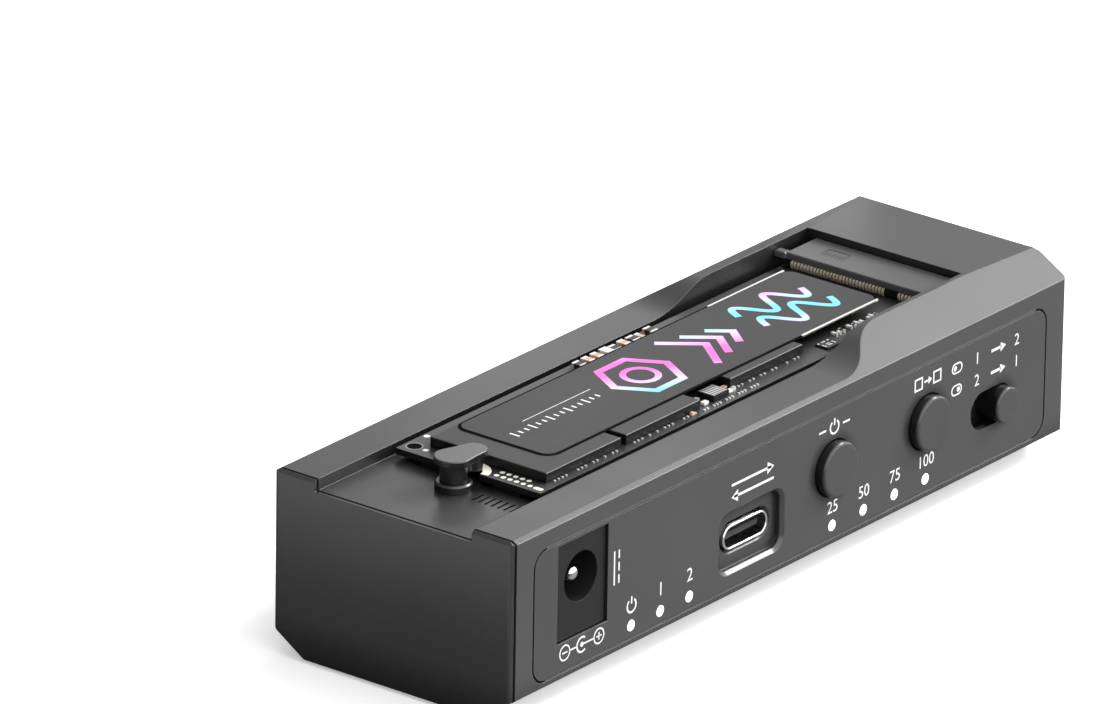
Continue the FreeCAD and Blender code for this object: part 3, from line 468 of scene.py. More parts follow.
def bullet(x, z, radius, root_y, tip_y, sides=40):
    """Round pin along Y: straight from its root, then domed, r = R sin a, y = tip + 0.7 R (1 - cos a)."""
    dome = np.radians(np.linspace(90, 12, 8))
    turn = np.linspace(0, 2 * math.pi, sides, endpoint=False)
    profile = [(radius, root_y)]
    profile += [(radius * math.sin(a), tip_y + 0.7 * radius * (1 - math.cos(a))) for a in dome]
    return stacked([np.stack([x + r * np.cos(turn), np.full(sides, y), z + r * np.sin(turn)], 1)
                    for r, y in profile])


pin = middle("dc_jack_pin")
pin_low, pin_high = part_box("dc_jack_pin")
pin_solid = bullet(pin.x, pin.z, (pin_high.x - pin_low.x) / 2, pin_high.y, pin_low.y)
jack_pin = raise_piece("jack_pin", [pin_solid], [nickel], smooth=True)
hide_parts("dc_jack_pin")

# ==== Data socket ==============================================================================
# Drawn steel shell with a bright nickel skin and a rolled lip, round a dark tongue that carries a row
# of twelve gold pads on each face.
shell_metal = finish("bright_shell", (0.88, 0.88, 0.89), 0.16, 0.5 * mm, 0.001 * mm, 0.06 * mm, metal=1.0)
tongue_black = finish("tongue_black", (0.030, 0.030, 0.032), 0.35, 0.1 * mm, 0.002 * mm, 0.05 * mm)
gold = finish("contact_gold", (0.86, 0.66, 0.33), 0.24, 0.15 * mm, 0.001 * mm, 0, metal=1.0)
wear("usb_c_shell", shell_metal)
wear("usb_c_tongue", tongue_black)


def tube(path, radius, sides):
    """Round bar along a closed path in the XZ plane: centre + radius (cos a outward + sin a along Y)."""
    course = np.roll(path, -1, axis=0) - np.roll(path, 1, axis=0)
    course /= np.linalg.norm(course, axis=1, keepdims=True)
    out = np.stack([course[:, 2], np.zeros(len(path)), -course[:, 0]], 1)
    turn = np.linspace(0, 2 * math.pi, sides, endpoint=False)
    spokes = out[:, None, :] * np.cos(turn)[None, :, None]
    spokes = spokes + np.array([0.0, 1.0, 0.0]) * np.sin(turn)[None, :, None]
    points = (path[:, None, :] + radius * spokes).reshape(-1, 3)
    faces = walls(len(path), sides, closed=True)
    return points, faces, [0] * len(faces)


def slot_rim(x, y, z, half_width, half_height, steps=14):
    """Closed path round a slot with round ends, counter-clockwise seen from the front: two half circles
    (end + h cos a, y, z + h sin a) of half_height h, about ends at half_width less h from the middle."""
    run = half_width - half_height
    turn = np.radians(np.concatenate([np.linspace(-90, 90, steps), np.linspace(90, 270, steps)]))
    ends = np.repeat([x + run, x - run], steps)
    return np.stack([ends + half_height * np.cos(turn), np.full(2 * steps, y),
                     z + half_height * np.sin(turn)], 1)


usb_low, usb_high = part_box("usb_c_shell")
shell_half_width = (usb_high.x - usb_low.x) / 2
shell_half_height = 1.63 * mm
usb_axis_z = usb_high.z - shell_half_height
lip = 0.17 * mm
lip_rim = slot_rim(usb.x, usb_low.y + 0.4 * lip, usb_axis_z, shell_half_width - lip, shell_half_height - lip)
raise_piece("usb_lip", [tube(lip_rim, lip, 12)], [shell_metal], smooth=True)

pad_count = 12
pad_pitch = 0.5 * mm
pad_half = 0.14 * mm
pad_start = usb_low.y + 1.3 * mm
pad_end = usb_low.y + 4.4 * mm
pad_lift = 0.02 * mm
tongue_half = 0.35 * mm
pads = []
for number in range(pad_count):
    x = usb.x + (number - (pad_count - 1) / 2) * pad_pitch
    for z in (usb_axis_z - tongue_half, usb_axis_z + tongue_half):
        pads.append(cuboid(x - pad_half, x + pad_half, pad_start, pad_end, z - pad_lift, z + pad_lift))
raise_piece("usb_pads", pads, [gold])

# ==== Buttons and slide knob ===================================================================
# Satin moulded caps in the housing's colour, with a rolled edge that carries a painted highlight and side
# walls painted darker as shade; behind the wall, the plungers and switches that they work, in black
# glass-filled plastic.
# Painted highlight on the rolled edge, painted shade on the side walls and near the front wall.
cap_finish = finish("satin_cap_grey", (0.056, 0.056, 0.0575), 0.20, 0.12 * mm, 0.0015 * mm, 0.2 * mm,
                    edge_highlight=1.0, shade_reach=3.0 * mm, side=0.1, looks="Y")
for node in ("power_button", "copy_button", "slide_knob"):
    wear(node, cap_finish)
inner_black = finish("switch_black", (0.008, 0.008, 0.0085), 0.45, 0.15 * mm, 0.003 * mm, 0.05 * mm)
for node in ("power_plunger", "copy_plunger", "power_switch", "copy_switch", "slide_switch", "board_link"):
    wear(node, inner_black)

# ==== Turning latch ============================================================================
# Black nylon with a soft gloss: a collar pressed into the bay floor and the lever that turns in it. The
# lever's head is a pear-shaped slab with a rolled edge, on a round shaft and a foot over the drive's end.
# Painted shade: its upright sides are painted darker than its tops and it darkens near other surfaces; its
# edges carry a painted highlight.
latch_finish = finish("latch_nylon", (0.085, 0.085, 0.086), 0.25, 0.2 * mm, 0.002 * mm, 0.10 * mm,
                      edge_highlight=0.4, shade_reach=3.0 * mm, side=0.12)
wear("latch_base", latch_finish)
collar_low, collar_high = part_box("latch_base")
lever_low, lever_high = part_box("latch_knob")
latch_x = (collar_low.x + collar_high.x) / 2
latch_angle = math.radians(-8)
lever_head = 2.45 * mm
lever_toe = 1.75 * mm
arm_length = 3.15 * mm
throat = 0.16 * mm
shoulder = 0.30 * mm


def pear(inset, z, steps=40):
    """Outline of the lever at one height: an arc round the axis, an arc round the toe, and between them a
    straight run, moved inwards by throat sin(pi t)^2 and outwards by shoulder sin(pi t) (1 - t)."""
    head = lever_head - inset
    toe = lever_toe - inset
    back = np.radians(np.linspace(105, 255, steps))
    nose = np.radians(np.linspace(-75, 75, steps))
    t = np.linspace(0.06, 0.94, 12)
    root = np.array([head * math.cos(back[-1]), head * math.sin(back[-1])])
    tip = np.array([arm_length + toe * math.cos(nose[0]), toe * math.sin(nose[0])])
    run = root + (tip - root) * t[:, None]
    run[:, 1] += throat * np.sin(math.pi * t) ** 2 - shoulder * np.sin(math.pi * t) * (1 - t)
    outline = np.vstack([np.stack([head * np.cos(back), head * np.sin(back)], 1), run,
                         np.stack([arm_length + toe * np.cos(nose), toe * np.sin(nose)], 1),
                         run[::-1] * [1, -1]])
    x = latch_x + outline[:, 0] * math.cos(latch_angle) - outline[:, 1] * math.sin(latch_angle)
    y = outline[:, 0] * math.sin(latch_angle) + outline[:, 1] * math.cos(latch_angle)
    return np.stack([x, y, np.full(len(x), z)], 1)


def post(x, y, radius, z0, z1, sides=48):
    """Upright round bar between two heights."""
    turn = np.linspace(0, 2 * math.pi, sides, endpoint=False)
    return stacked([np.stack([x + radius * np.cos(turn), y + radius * np.sin(turn), np.full(sides, z)], 1)
                    for z in (z0, z1)])


roll_radius = 0.16 * mm
shaft_radius = 1.7 * mm
latch_pin_radius = 0.95 * mm
foot_radius = 1.2 * mm
web_radius = 1.1 * mm
head_low = lever_high.z - 0.8 * mm
shaft_low = collar_high.z + 0.05 * mm
foot_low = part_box("drive_board")[1].z + 0.3 * mm
web_low = foot_low + 0.3 * mm
toe_x = latch_x + arm_length * math.cos(latch_angle)
toe_y = arm_length * math.sin(latch_angle)
head_rings = [pear(0.0, head_low)]
for roll in np.radians(np.linspace(0, 90, 6)):
    roll_z = lever_high.z - roll_radius * (1 - math.sin(roll))
    head_rings.append(pear(roll_radius * (1 - math.cos(roll)), roll_z))
lever_solids = [stacked(head_rings),
                post(latch_x, 0, shaft_radius, shaft_low, head_low),
                post(latch_x, 0, latch_pin_radius, lever_low.z, shaft_low),
                post(toe_x, toe_y, foot_radius, foot_low, head_low),
                post((latch_x + toe_x) / 2, toe_y / 2, web_radius, web_low, head_low)]
lever = raise_piece("latch_lever", lever_solids, [latch_finish], body="latch")
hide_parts("latch_knob")

# ==== Solid-state drive ========================================================================
# Dark board with moulded chips, plated test pads at the latch end, and rows of chip capacitors, tin
# joints and tiny parts along both long edges. A thin heat-spreading label lies on the chips.
# Painted shade: the board's upright edges and the board close to the chips are painted darker; the tops keep
# the colour.
board_finish = finish("drive_solder_mask", (0.060, 0.060, 0.064), 0.34, 0.3 * mm, 0.004 * mm, 0.05 * mm,
                      shade_reach=3.0 * mm, side=0.12)
wear("drive_board", board_finish)
# Painted shade: the chips' sides are painted darker than their tops.
package = finish("moulded_package", (0.050, 0.050, 0.051), 0.36, 0.12 * mm, 0.004 * mm, 0.02 * mm, side=0.12)
package.node_tree.nodes["Principled BSDF"].inputs["Specular IOR Level"].default_value = 0.2
for node in ("drive_memory_1", "drive_memory_2", "drive_controller"):
    wear(node, package)
tin = finish("tinned_joint", (0.86, 0.86, 0.84), 0.32, 0.1 * mm, 0.003 * mm, 0, metal=0.7)
pale_gold = finish("plated_pad", (0.97, 0.94, 0.82), 0.35, 0.1 * mm, 0.002 * mm, 0)
hole_black = finish("hole_black", (0.008, 0.008, 0.008), 0.6, 0.1 * mm, 0.001 * mm, 0)
hole_black.node_tree.nodes["Principled BSDF"].inputs["Specular IOR Level"].default_value = 0.0
tan = finish("ceramic_tan", (0.62, 0.40, 0.27), 0.4, 0.1 * mm, 0.003 * mm, 0.04 * mm)
cream = finish("ceramic_white", (0.74, 0.72, 0.68), 0.4, 0.1 * mm, 0.003 * mm, 0.04 * mm)
coal = finish("coil_black", (0.022, 0.022, 0.023), 0.35, 0.1 * mm, 0.003 * mm, 0.04 * mm)
drive_low, drive_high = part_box("drive_board")
drive_top = drive_high.z
film = 0.015 * mm


def on_level(height):
    """Flat (x, y) drawn on a level face just above a height."""
    return lambda points: np.stack([points[:, 0], points[:, 1], np.full(len(points), height + film)], 1)


def ring(centre, inner, outer, start=0, end=360, steps=28):
    """Flat ring sector between two radii."""
    return stroke(arc(centre, (inner + outer) / 2, start, end, steps), outer - inner)


def disc(centre, radius, steps=18):
    """Flat round face."""
    return patch(arc(centre, radius, 0, 360 - 360 / steps, steps))


latch_end = drive_low.x
test_pads = [ring((latch_end, 0), 1.80 * mm, 2.85 * mm, -84, 84)]
test_pad_start = -3.55 * mm
test_pad_pitch = 1.01 * mm
for row, count in ((1.06 * mm, 6), (2.18 * mm, 5)):
    for i in range(count):
        test_pads.append(disc((latch_end + row, test_pad_start - i * test_pad_pitch), 0.34 * mm))
long_pad_x = latch_end + 1.0 * mm
long_pad_radius = 0.36 * mm
test_pads.append(patch(np.vstack([arc((long_pad_x, -9.55 * mm), long_pad_radius, 0, 180, 10),
                                  arc((long_pad_x, -10.25 * mm), long_pad_radius, 180, 360, 10)])))
for x, y, radius in ((1.7, 7.75, 0.38), (5.2, 10.35, 0.42), (7.3, 9.3, 0.22), (5.7, 8.6, 0.26)):
    test_pads.append(disc((latch_end + x * mm, y * mm), radius * mm))
lay("drive_test_pads", test_pads, on_level(drive_top), pale_gold)
# Painted shade: the eyelet's hole is a black disc laid on the board, where the hole would show dark.
eyelet = (latch_end + 1.8 * mm, 9.55 * mm)
eyelet_radius = 0.92 * mm
bare_rim = finish("bare_rim", (0.26, 0.25, 0.23), 0.4, 0.1 * mm, 0.002 * mm, 0)
lay("drive_eyelet", [disc(eyelet, eyelet_radius, 28)], on_level(drive_top), hole_black)
eyelet_rim = ring(eyelet, eyelet_radius, 1.12 * mm)
lay("drive_eyelet_rim", [eyelet_rim], on_level(drive_top), bare_rim)

chip_joint_pitch = 0.75 * mm
edge_joint_pitch = 0.62 * mm
edge_joint_y = -10.35 * mm
joints = []
for node, keep in (("drive_memory_1", 5), ("drive_memory_2", 4), ("drive_controller", 3)):
    chip_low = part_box(node)[0]
    for i in range(17):
        if i % keep != keep - 1 and i % 7 != 5:
            x = chip_low.x + 1.1 * mm + chip_joint_pitch * i
            joints.append(cuboid(x, x + 0.26 * mm, chip_low.y - 0.42 * mm, chip_low.y - 0.16 * mm,
                                 drive_top, drive_top + 0.12 * mm))
for i in range(19):
    x = drive_low.x + 32.9 * mm + edge_joint_pitch * i
    if i % 4 != 2:
        joints.append(cuboid(x, x + 0.3 * mm, edge_joint_y, edge_joint_y + 0.3 * mm,
                             drive_top, drive_top + 0.14 * mm))
raise_piece("drive_joints", joints, [tin])

small_finishes = [tan, cream, coal, tin, package]
TAN, CREAM, COAL, TIN, PACKAGE = range(5)


def capacitor(x0, y0, width, depth, height, kind):
    """Chip part lying across the edge: ceramic body between two tin ends."""
    cap = depth * 0.24
    top = drive_top + height
    return [cuboid(x0, x0 + width, y0 + cap, y0 + depth - cap, drive_top, top, kind),
            cuboid(x0 - film, x0 + width + film, y0, y0 + cap, drive_top, top + film, TIN),
            cuboid(x0 - film, x0 + width + film, y0 + depth - cap, y0 + depth, drive_top, top + film, TIN)]


memory_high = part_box("drive_memory_2")[1]
small_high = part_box("drive_small_parts")[1]
back_row_y = small_high.y - 1.8 * mm
parts = []
back_row = ((COAL, 1.1, 0.9), (TAN, 1.0, 0.95), (TAN, 1.0, 0.95), (CREAM, 1.3, 1.0), (COAL, 1.2, 0.8),
            (TAN, 1.1, 0.95), (COAL, 1.3, 0.9), (TAN, 0.7, 0.8), (COAL, 1.2, 1.0))
for i, (kind, width, height) in enumerate(back_row):
    parts += capacitor(memory_high.x + i * 1.75 * mm, back_row_y, width * mm, 1.6 * mm, height * mm, kind)
for i in range(12):
    x = small_high.x - (0.75 * i + 0.4) * mm
    if i % 5 != 3:
        kind = CREAM if i % 3 else COAL
        parts += capacitor(x, -8.15 * mm, 0.38 * mm, (0.62 + 0.3 * (i % 2)) * mm, 0.3 * mm, kind)
regulator_x = memory_high.x + 2.9 * mm
regulator_y = -9.55 * mm
regulator_top = drive_top + 0.8 * mm
parts.append(cuboid(regulator_x, regulator_x + 2.9 * mm, regulator_y, regulator_y + 2.5 * mm,
                    drive_top, regulator_top, PACKAGE))
for i in range(6):
    x = regulator_x + (0.2 + 0.45 * i) * mm
    parts.append(cuboid(x, x + 0.2 * mm, regulator_y + 0.12 * mm, regulator_y + 2.38 * mm,
                        regulator_top, regulator_top + 0.03 * mm, TIN))
for x, y, size, kind in ((1.3, -9.3, 0.9, CREAM), (1.4, -7.9, 0.8, TIN), (6.4, -9.2, 0.7, CREAM),
                         (7.4, -9.0, 0.6, TIN), (-2.2, -10.15, 0.55, TAN), (6.6, -8.1, 0.8, TAN)):
    x0 = memory_high.x + x * mm
    y1 = (y + 0.7 * size) * mm
    parts.append(cuboid(x0, x0 + size * mm, y * mm, y1, drive_top, drive_top + 0.35 * mm, kind))
clock_x = small_high.x - 12.9 * mm
clock_y = -10.1 * mm
clock_top = drive_top + 0.25 * mm
cell_pitch = 0.37 * mm
cell = 0.24 * mm
parts.append(cuboid(clock_x, clock_x + 2.4 * mm, clock_y, clock_y + 2.0 * mm, drive_top, clock_top, PACKAGE))
for i in range(6):
    for j in range(5):
        if (i * 3 + j * 5 + i * j) % 3:
            x = clock_x + 0.15 * mm + cell_pitch * i
            y = clock_y + 0.12 * mm + cell_pitch * j
            parts.append(cuboid(x, x + cell, y, y + cell, clock_top, clock_top + 0.02 * mm, CREAM))
small_parts = raise_piece("drive_details", parts, small_finishes)
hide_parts("drive_small_parts")

# ==== Drive label ==============================================================================
# Thin dark film over the chips, with a black line round its edge that is a painted shadow, and two pale
# strips along its long edges that are painted highlights. Its print is generic: a hexagon round a ring,
# three chevrons and two waves that fade from pink over lilac to pale blue, and a thin white rule with a
# row of small marks.
label_finish = finish("label_film", (0.024, 0.024, 0.025), 0.40, 0.3 * mm, 0.002 * mm, 0.03 * mm)
wear("drive_label", label_finish)
label_low, label_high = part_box("drive_label")
label_top = label_high.z
edge_width = 0.4 * mm
corner = 1.6 * mm


def rounded_outline(x0, x1, y0, y1, radius, steps=9):
    """Corners of a rectangle replaced by quarter circles, counter-clockwise."""
    return np.vstack([arc((x1 - radius, y0 + radius), radius, -90, 0, steps),
                      arc((x1 - radius, y1 - radius), radius, 0, 90, steps),
                      arc((x0 + radius, y1 - radius), radius, 90, 180, steps),
                      arc((x0 + radius, y0 + radius), radius, 180, 270, steps)])


# Painted shadow: a black line round the label where its edge and the gap below it fall into shade.
painted_shadow_line = stroke(rounded_outline(label_low.x - edge_width / 2, label_high.x + edge_width / 2,
                                label_low.y - edge_width / 2, label_high.y + edge_width / 2,
                                corner + edge_width / 2), edge_width, closed=True)
lay("label_painted_shadow", [painted_shadow_line], on_level(label_low.z + 0.02 * mm), hole_black)

# Painted highlights: two pale strips along the label's long edges, where those edges would catch the light.
glint_start = label_high.x - 15.9 * mm
glint_end = label_high.x - 0.5 * mm
edge_glints = [cuboid(glint_start, glint_end, y, y + 0.24 * mm, label_low.z - 0.1 * mm, label_top + 0.02 * mm)
         for y in (label_low.y - 0.25 * mm, label_high.y + 0.01 * mm)]
raise_piece("label_edge_highlights", edge_glints, [cream])

fade_length = 9.5 * mm
fading_ink = finish("fading_ink", (0.6, 0.5, 0.6), 0.45, 0.1 * mm, 0.001 * mm, 0)
ink_tree = fading_ink.node_tree
ink_place = ink_tree.nodes.new("ShaderNodeTexCoord")
slant = projection(ink_tree, ink_place.outputs["Object"], (0.45 / fade_length, 0.89 / fade_length, 0.0))
swing = reckon(ink_tree, "PINGPONG", slant, 1.0)
ramp = ink_tree.nodes.new("ShaderNodeValToRGB")
pink, pale_blue = ramp.color_ramp.elements
pink.color = (0.85, 0.16, 0.56, 1.0)
pink.position = 0.18
pale_blue.color = (0.20, 0.72, 0.86, 1.0)
pale_blue.position = 0.85
lilac = ramp.color_ramp.elements.new(0.55)
lilac.color = (0.72, 0.60, 0.90, 1.0)
ink_tree.links.new(swing, ramp.inputs["Fac"])
ink_tree.links.new(ramp.outputs["Color"], ink_tree.nodes["Principled BSDF"].inputs["Base Color"])

label_middle = (label_low.y + label_high.y) / 2
band = 1.05 * mm
motif = []
hexagon = (label_low.x + 27.0 * mm, label_middle)
hexagon_radius = 5.2 * mm
inner_radius = 2.2 * mm
motif.append(stroke(arc(hexagon, hexagon_radius, 0, 300, 6), band, closed=True))
motif.append(stroke(arc(hexagon, inner_radius, 0, 340, 18), band * 0.8, closed=True))
first_chevron_x = label_low.x + 40.0 * mm
chevron_pitch = 2.7 * mm
for i in range(3):
    tip_x = first_chevron_x + chevron_pitch * i
    reach = (4.9 - 1.1 * i) * mm
    motif.append(stroke([(tip_x - reach * 0.8, label_middle + reach), (tip_x, label_middle),
                         (tip_x - reach * 0.8, label_middle - reach)], band))
wave_length = 6.25 * mm
wave_height = 2.2 * mm
wave_run = np.linspace(0, 2 * wave_length, 50)
wave_x = label_low.x + 49.5 * mm + wave_run
for shift in (-wave_height, wave_height):
    wave_y = label_middle + shift + wave_height * np.sin(2 * math.pi * wave_run / wave_length)
    motif.append(stroke(np.stack([wave_x, wave_y], 1), band * 0.9))
lay("label_pattern", motif, on_level(label_top), fading_ink)

rule_y = label_middle + 1.9 * mm
mark_pitch = 1.15 * mm
marks = [stroke([(label_low.x + 6.3 * mm, rule_y), (label_low.x + 19.5 * mm, rule_y)], 0.12 * mm)]
for i in range(15):
    x = label_low.x + 2.4 * mm + mark_pitch * i
    tall = (0.75 if i % 3 == 0 else 0.4) * mm
    marks.append(stroke([(x, label_middle - tall), (x, label_middle + tall)], 0.3 * mm))
lay("label_marks", marks, on_level(label_top), ink)

# ==== Drive socket =============================================================================
# Black jaw with two groups of gold springs and a satin cover plate. Each spring is a bent strip that
# rises from the jaw's mouth and leans back under the plate. The plate bears a plain edge-card sign.
wear("m2_socket", inner_black)
wear("connector_plate", finish("plate_grey", (0.085, 0.085, 0.087), 0.30, 0.14 * mm, 0.003 * mm, 0.1 * mm))
spring_low, spring_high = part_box("m2_contacts")
plate_low, plate_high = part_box("connector_plate")
key_y = (drive_low.y + drive_high.y) / 2 - 6.0 * mm
first_spring = 1.25 * mm
spring_pitch = 0.5 * mm
spring_half = 0.16 * mm
spring_back = np.array([0.10 * mm, -0.03 * mm])
spring_places = [key_y + first_spring + i * spring_pitch for i in range(29)]
spring_places += [key_y - first_spring - i * spring_pitch for i in range(5)]
rise = spring_high.z - spring_low.z
lean = np.array([(0.02, 0.0), (-0.10, 0.25), (-0.16, 0.5), (-0.10, 0.78), (0.10, 0.98), (0.34, 1.0)])
course = np.stack([spring_low.x + lean[:, 0] * mm, spring_low.z + lean[:, 1] * rise], 1)


def spring(y):
    """Bent strip: the cut at point p of the course has the corners p and p + back at y - spring_half,
    then p + back and p at y + spring_half."""
    corners = np.stack([course, course + spring_back, course + spring_back, course], 1)
    edges = np.broadcast_to(y + spring_half * np.array([-1, -1, 1, 1]), corners.shape[:2])
    return stacked(np.stack([corners[..., 0], edges, corners[..., 1]], 2))


spring_solids = [spring(y) for y in spring_places]
spring_tin = finish("spring_strip", (0.66, 0.58, 0.44), 0.30, 0.1 * mm, 0.002 * mm, 0, metal=0.3)
springs = raise_piece("socket_springs", spring_solids, [spring_tin])
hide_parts("m2_contacts")

sign_x = (plate_low.x + plate_high.x) / 2 + 0.2 * mm
card_half = 1.0 * mm
card_near, card_far = 3.4 * mm, 6.6 * mm
card = [stroke([(sign_x - card_half, card_far), (sign_x + card_half, card_far),
                (sign_x + card_half, card_near), (sign_x - card_half, card_near)], 0.22 * mm)]
for i in range(5):
    y = card_far - (0.5 + 0.55 * i) * mm
    card.append(stroke([(sign_x - card_half, y), (sign_x + 0.1 * mm, y)], 0.2 * mm))
lay("plate_sign", card, on_level(plate_high.z), coal)

# ==== Hard drive socket and inner boards =======================================================
# Black socket in the back with two rows of gold springs; black boards, their chips and lamps.
wear("sata_socket", finish("socket_black", (0.022, 0.022, 0.023), 0.36, 0.14 * mm, 0.003 * mm, 0.08 * mm))
wear("sata_contacts", gold)
mask = finish("board_mask", (0.012, 0.016, 0.014), 0.3, 0.4 * mm, 0.004 * mm, 0)
wear("main_board", mask)
wear("upper_board", mask)
wear("bridge_chip", package)
wear("copy_chip", package)
wear("board_lights", finish("lamp_white", (0.8, 0.8, 0.76), 0.4, 0.2 * mm, 0.002 * mm, 0))

# ==== Screws ===================================================================================
# Black zinc-plated screws. Those of the housing sit in counterbores of the underside and show a domed
# head with a cross recess; the four that hold the boards are hidden inside and stay plain.
screw_finish = finish("black_zinc", (0.10, 0.10, 0.105), 0.3, 0.2 * mm, 0.003 * mm, 0.05 * mm, metal=0.9)
wear("housing_screws", screw_finish)
wear("board_screws", screw_finish)
screws_low, screws_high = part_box("housing_screws")
screw_head_radius = 1.8 * mm
screw_head_height = 0.8 * mm
shank_radius = 0.65 * mm
dome_rise = 0.22 * mm
cross_depth = 0.42 * mm
arm_half, arm_blur = 0.20 * mm, 0.035 * mm
arm_reach, reach_blur = 1.02 * mm, 0.05 * mm


def cross_head(x, y, low_z, rings=16, sides=64):
    """Domed head seen from below. At radius r of R the dome is at low_z + dome_rise (r / R)^2; it is
    sunk by cross_depth inside a cross with soft edges at arm_half across and arm_reach along its arms."""
    radius = screw_head_radius * np.linspace(0, 1, rings + 1)[1:] ** 0.8
    turn = np.linspace(0, 2 * math.pi, sides, endpoint=False)
    r, a = np.meshgrid(radius, turn, indexing="ij")
    u, v = r * np.cos(a), r * np.sin(a)
    across = np.minimum(np.abs(u), np.abs(v))
    inside = 1 / (1 + np.exp((across - arm_half) / arm_blur))
    reach = 1 / (1 + np.exp((r - arm_reach) / reach_blur))
    z = low_z + dome_rise * (r / screw_head_radius) ** 2 + cross_depth * inside * reach
    points = np.vstack([[(x, y, low_z + cross_depth)], np.stack([x + u, y + v, z], 2).reshape(-1, 3)])
    upper = points[-sides:].copy()
    upper[:, 2] = low_z + screw_head_height
    points = np.vstack([points, upper])
    faces = [(0, 1 + (k + 1) % sides, 1 + k) for k in range(sides)]
    faces += walls(rings + 1, sides, start=1)
    faces.append(tuple(range(len(points) - sides, len(points))))
    return points, faces, [0] * len(faces)


neck = screws_low.z + screw_head_height
screw_solids = []
for x in (screws_low.x + screw_head_radius, screws_high.x - screw_head_radius):
    for y in (screws_low.y + screw_head_radius, screws_high.y - screw_head_radius):
        screw_solids.append(cross_head(x, y, screws_low.z))
        screw_solids.append(post(x, y, shank_radius, neck, screws_high.z, 36))
screws = raise_piece("housing_screw_heads", screw_solids, [screw_finish])
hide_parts("housing_screws")

# ==== Rubber pad ===============================================================================
# Long matt pad glued into a recess of the underside.
wear("rubber_pad", finish("pad_rubber", (0.018, 0.018, 0.018), 0.75, 0.35 * mm, 0.02 * mm, 0.1 * mm))

# ==== Bay floor marks and end joint ============================================================
# Seven short grooves beside the latch, where the drive's end lies, drawn as black strokes on the floor that
# are painted shade for grooves pressed into it, and the narrow dark joint behind the thin end plate,
# which runs up the front, over the rims and the bay.
bay_floor = collar_high.z - 1.05 * mm
rim_top = bay_floor + 1.5 * mm
groove_start = collar_low.x + 1.2 * mm
groove_end = collar_low.x + 3.4 * mm
first_groove_y = -4.0 * mm
groove_pitch = 0.95 * mm
# Painted shade: each groove is a flat black stroke, not a cut.
grooves = []
for i in range(7):
    y = first_groove_y - groove_pitch * i
    grooves.append(stroke([(groove_start, y), (groove_end, y)], 0.3 * mm))
lay("bay_marks", grooves, on_level(bay_floor), hole_black)

shell_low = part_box("top_housing")[0]
joint_x = shell_low.x + 0.62 * mm
wall_front = shell_low.y - film
base_run = 4.8 * mm
underside = 0.5 * mm
seam = 3.6 * mm
rim_level = rim_top + film
rim_step = 0.4 * mm
rim_run = 0.69 * mm
floor_level = bay_floor + film
bay_side = 11.9 * mm
joint_back = 17.4 * mm
joint_course = np.array([(wall_front + base_run, underside),
                         (wall_front, seam),
                         (wall_front, rim_level - rim_step),
                         (wall_front + rim_run, rim_level),
                         (-bay_side, rim_level),
                         (-bay_side + film, floor_level),
                         (bay_side - film, floor_level),
                         (bay_side - film, rim_level),
                         (joint_back, rim_level)])
joint_run = np.concatenate([[0], np.cumsum(np.linalg.norm(np.diff(joint_course, axis=0), axis=1))])


def round_end(points):
    """Flat (x, s) wrapped round the open end: s is the length along the course of the joint."""
    return np.stack([points[:, 0], np.interp(points[:, 1], joint_run, joint_course[:, 0]),
                     np.interp(points[:, 1], joint_run, joint_course[:, 1])], 1)


joint_line = stroke([(joint_x, run) for run in joint_run], 0.36 * mm)
lay("end_joint", [joint_line], round_end, hole_black)

# ==== Stage, lights and camera =================================================================
# Pale floor that throws light up only from the left, from behind and from under the part. A small
# kicker over the raised end, a soft key from the back right, a bright strip from the right and a sky
# that fades from the front right to the back left.
floor_half = 3.0
corners = [(-floor_half, -floor_half, 0), (floor_half, -floor_half, 0),
           (floor_half, floor_half, 0), (-floor_half, floor_half, 0)]
floor_mesh = bpy.data.meshes.new("floor")
floor_mesh.from_pydata(corners, [], [(0, 1, 2, 3)])
floor = bpy.data.objects.new("floor", floor_mesh)
bpy.context.scene.collection.objects.link(floor)
floor_material = bpy.data.materials.new("pale_floor")
floor_material.use_nodes = True
tree = floor_material.node_tree
paint = tree.nodes["Principled BSDF"]
paint.inputs["Roughness"].default_value = 0.9
paint.inputs["Emission Color"].default_value = (1.0, 1.0, 1.0, 1.0)
place = tree.nodes.new("ShaderNodeTexCoord")
along = tree.nodes.new("ShaderNodeSeparateXYZ")
tree.links.new(place.outputs["Object"], along.inputs["Vector"])
left = spread(tree, along.outputs["X"], -0.100, -0.080, 0.85, 0.02)
behind = spread(tree, along.outputs["Y"], -0.045, -0.005, 0.0, 1.0)
under = spread(tree, along.outputs["X"], -0.070, -0.048, 0.0, 0.22)
bounce = reckon(tree, "MAXIMUM", reckon(tree, "MULTIPLY", left, behind), under)
rays = tree.nodes.new("ShaderNodeLightPath")
seen = blend(tree, rays.outputs["Is Camera Ray"], bounce, (0.92, 0.92, 0.92, 1.0))
glow = reckon(tree, "MULTIPLY", rays.outputs["Is Camera Ray"], 0.4)
tree.links.new(seen, paint.inputs["Base Color"])
tree.links.new(glow, paint.inputs["Emission Strength"])
floor_mesh.materials.append(floor_material)

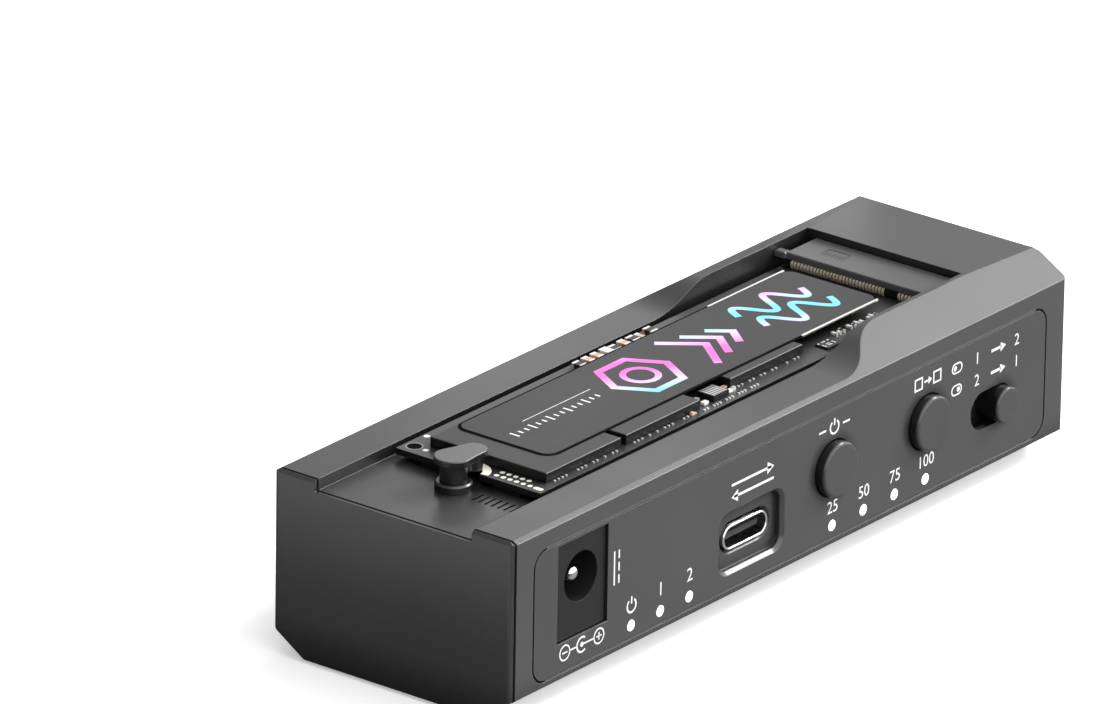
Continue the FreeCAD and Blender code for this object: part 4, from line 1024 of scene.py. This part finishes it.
world = bpy.data.worlds.new("studio")
world.use_nodes = True
tree = world.node_tree
sky = tree.nodes["Background"]
sky.inputs["Color"].default_value = (1.0, 1.0, 1.0, 1.0)
direction = tree.nodes.new("ShaderNodeTexCoord")
towards = projection(tree, direction.outputs["Generated"], (0.42, -0.90, 0.03))
fade = spread(tree, towards, -0.6, 0.9, 0.06, 2.7, "SMOOTHSTEP")
tree.links.new(fade, sky.inputs["Strength"])
bpy.context.scene.world = world


def soft_light(name, direction, distance, width, height, power):
    """Rectangular soft light that shines at the object from a direction."""
    light = bpy.data.lights.new(name, "AREA")
    light.shape = "RECTANGLE"
    light.size = width
    light.size_y = height
    light.energy = power
    holder = bpy.data.objects.new(name, light)
    bpy.context.scene.collection.objects.link(holder)
    away = Vector(direction).normalized()
    holder.location = away * distance
    holder.rotation_euler = away.to_track_quat("Z", "Y").to_euler()
    holder.visible_camera = False


soft_light("crown_kicker", (0.812, 0.401, 0.421), 0.0997, 0.015, 0.015, 0.0005)
soft_light("key_back_right", (0.60, 0.57, 0.565), 0.154, 0.04, 0.04, 0.0048)
soft_light("strip_right", (0.735, -0.32, 0.60), 1.6, 0.50, 0.45, 17.0)

azimuth = math.radians(-52.361)
elevation = math.radians(22.242)
roll = math.radians(0.932)
aim = Vector((-6.6, 13.1, 25.0)) * mm
distance = 1.6377
back = Vector((math.sin(azimuth) * math.cos(elevation), -math.cos(azimuth) * math.cos(elevation),
               math.sin(elevation)))
right = Vector((math.cos(azimuth), math.sin(azimuth), 0.0))
up = back.cross(right)
tilted_right = right * math.cos(roll) + up * math.sin(roll)
tilted_up = up * math.cos(roll) - right * math.sin(roll)
camera_data = bpy.data.cameras.new("camera")
camera_data.lens = 433.86
camera_data.sensor_width = 36.0
camera_data.clip_start = 0.05
camera = bpy.data.objects.new("camera", camera_data)
bpy.context.scene.collection.objects.link(camera)
turn = Matrix((tilted_right, tilted_up, back)).transposed().to_4x4()
camera.matrix_world = Matrix.Translation(aim + back * distance) @ turn
bpy.context.scene.camera = camera
bpy.context.scene.view_settings.view_transform = "Standard"
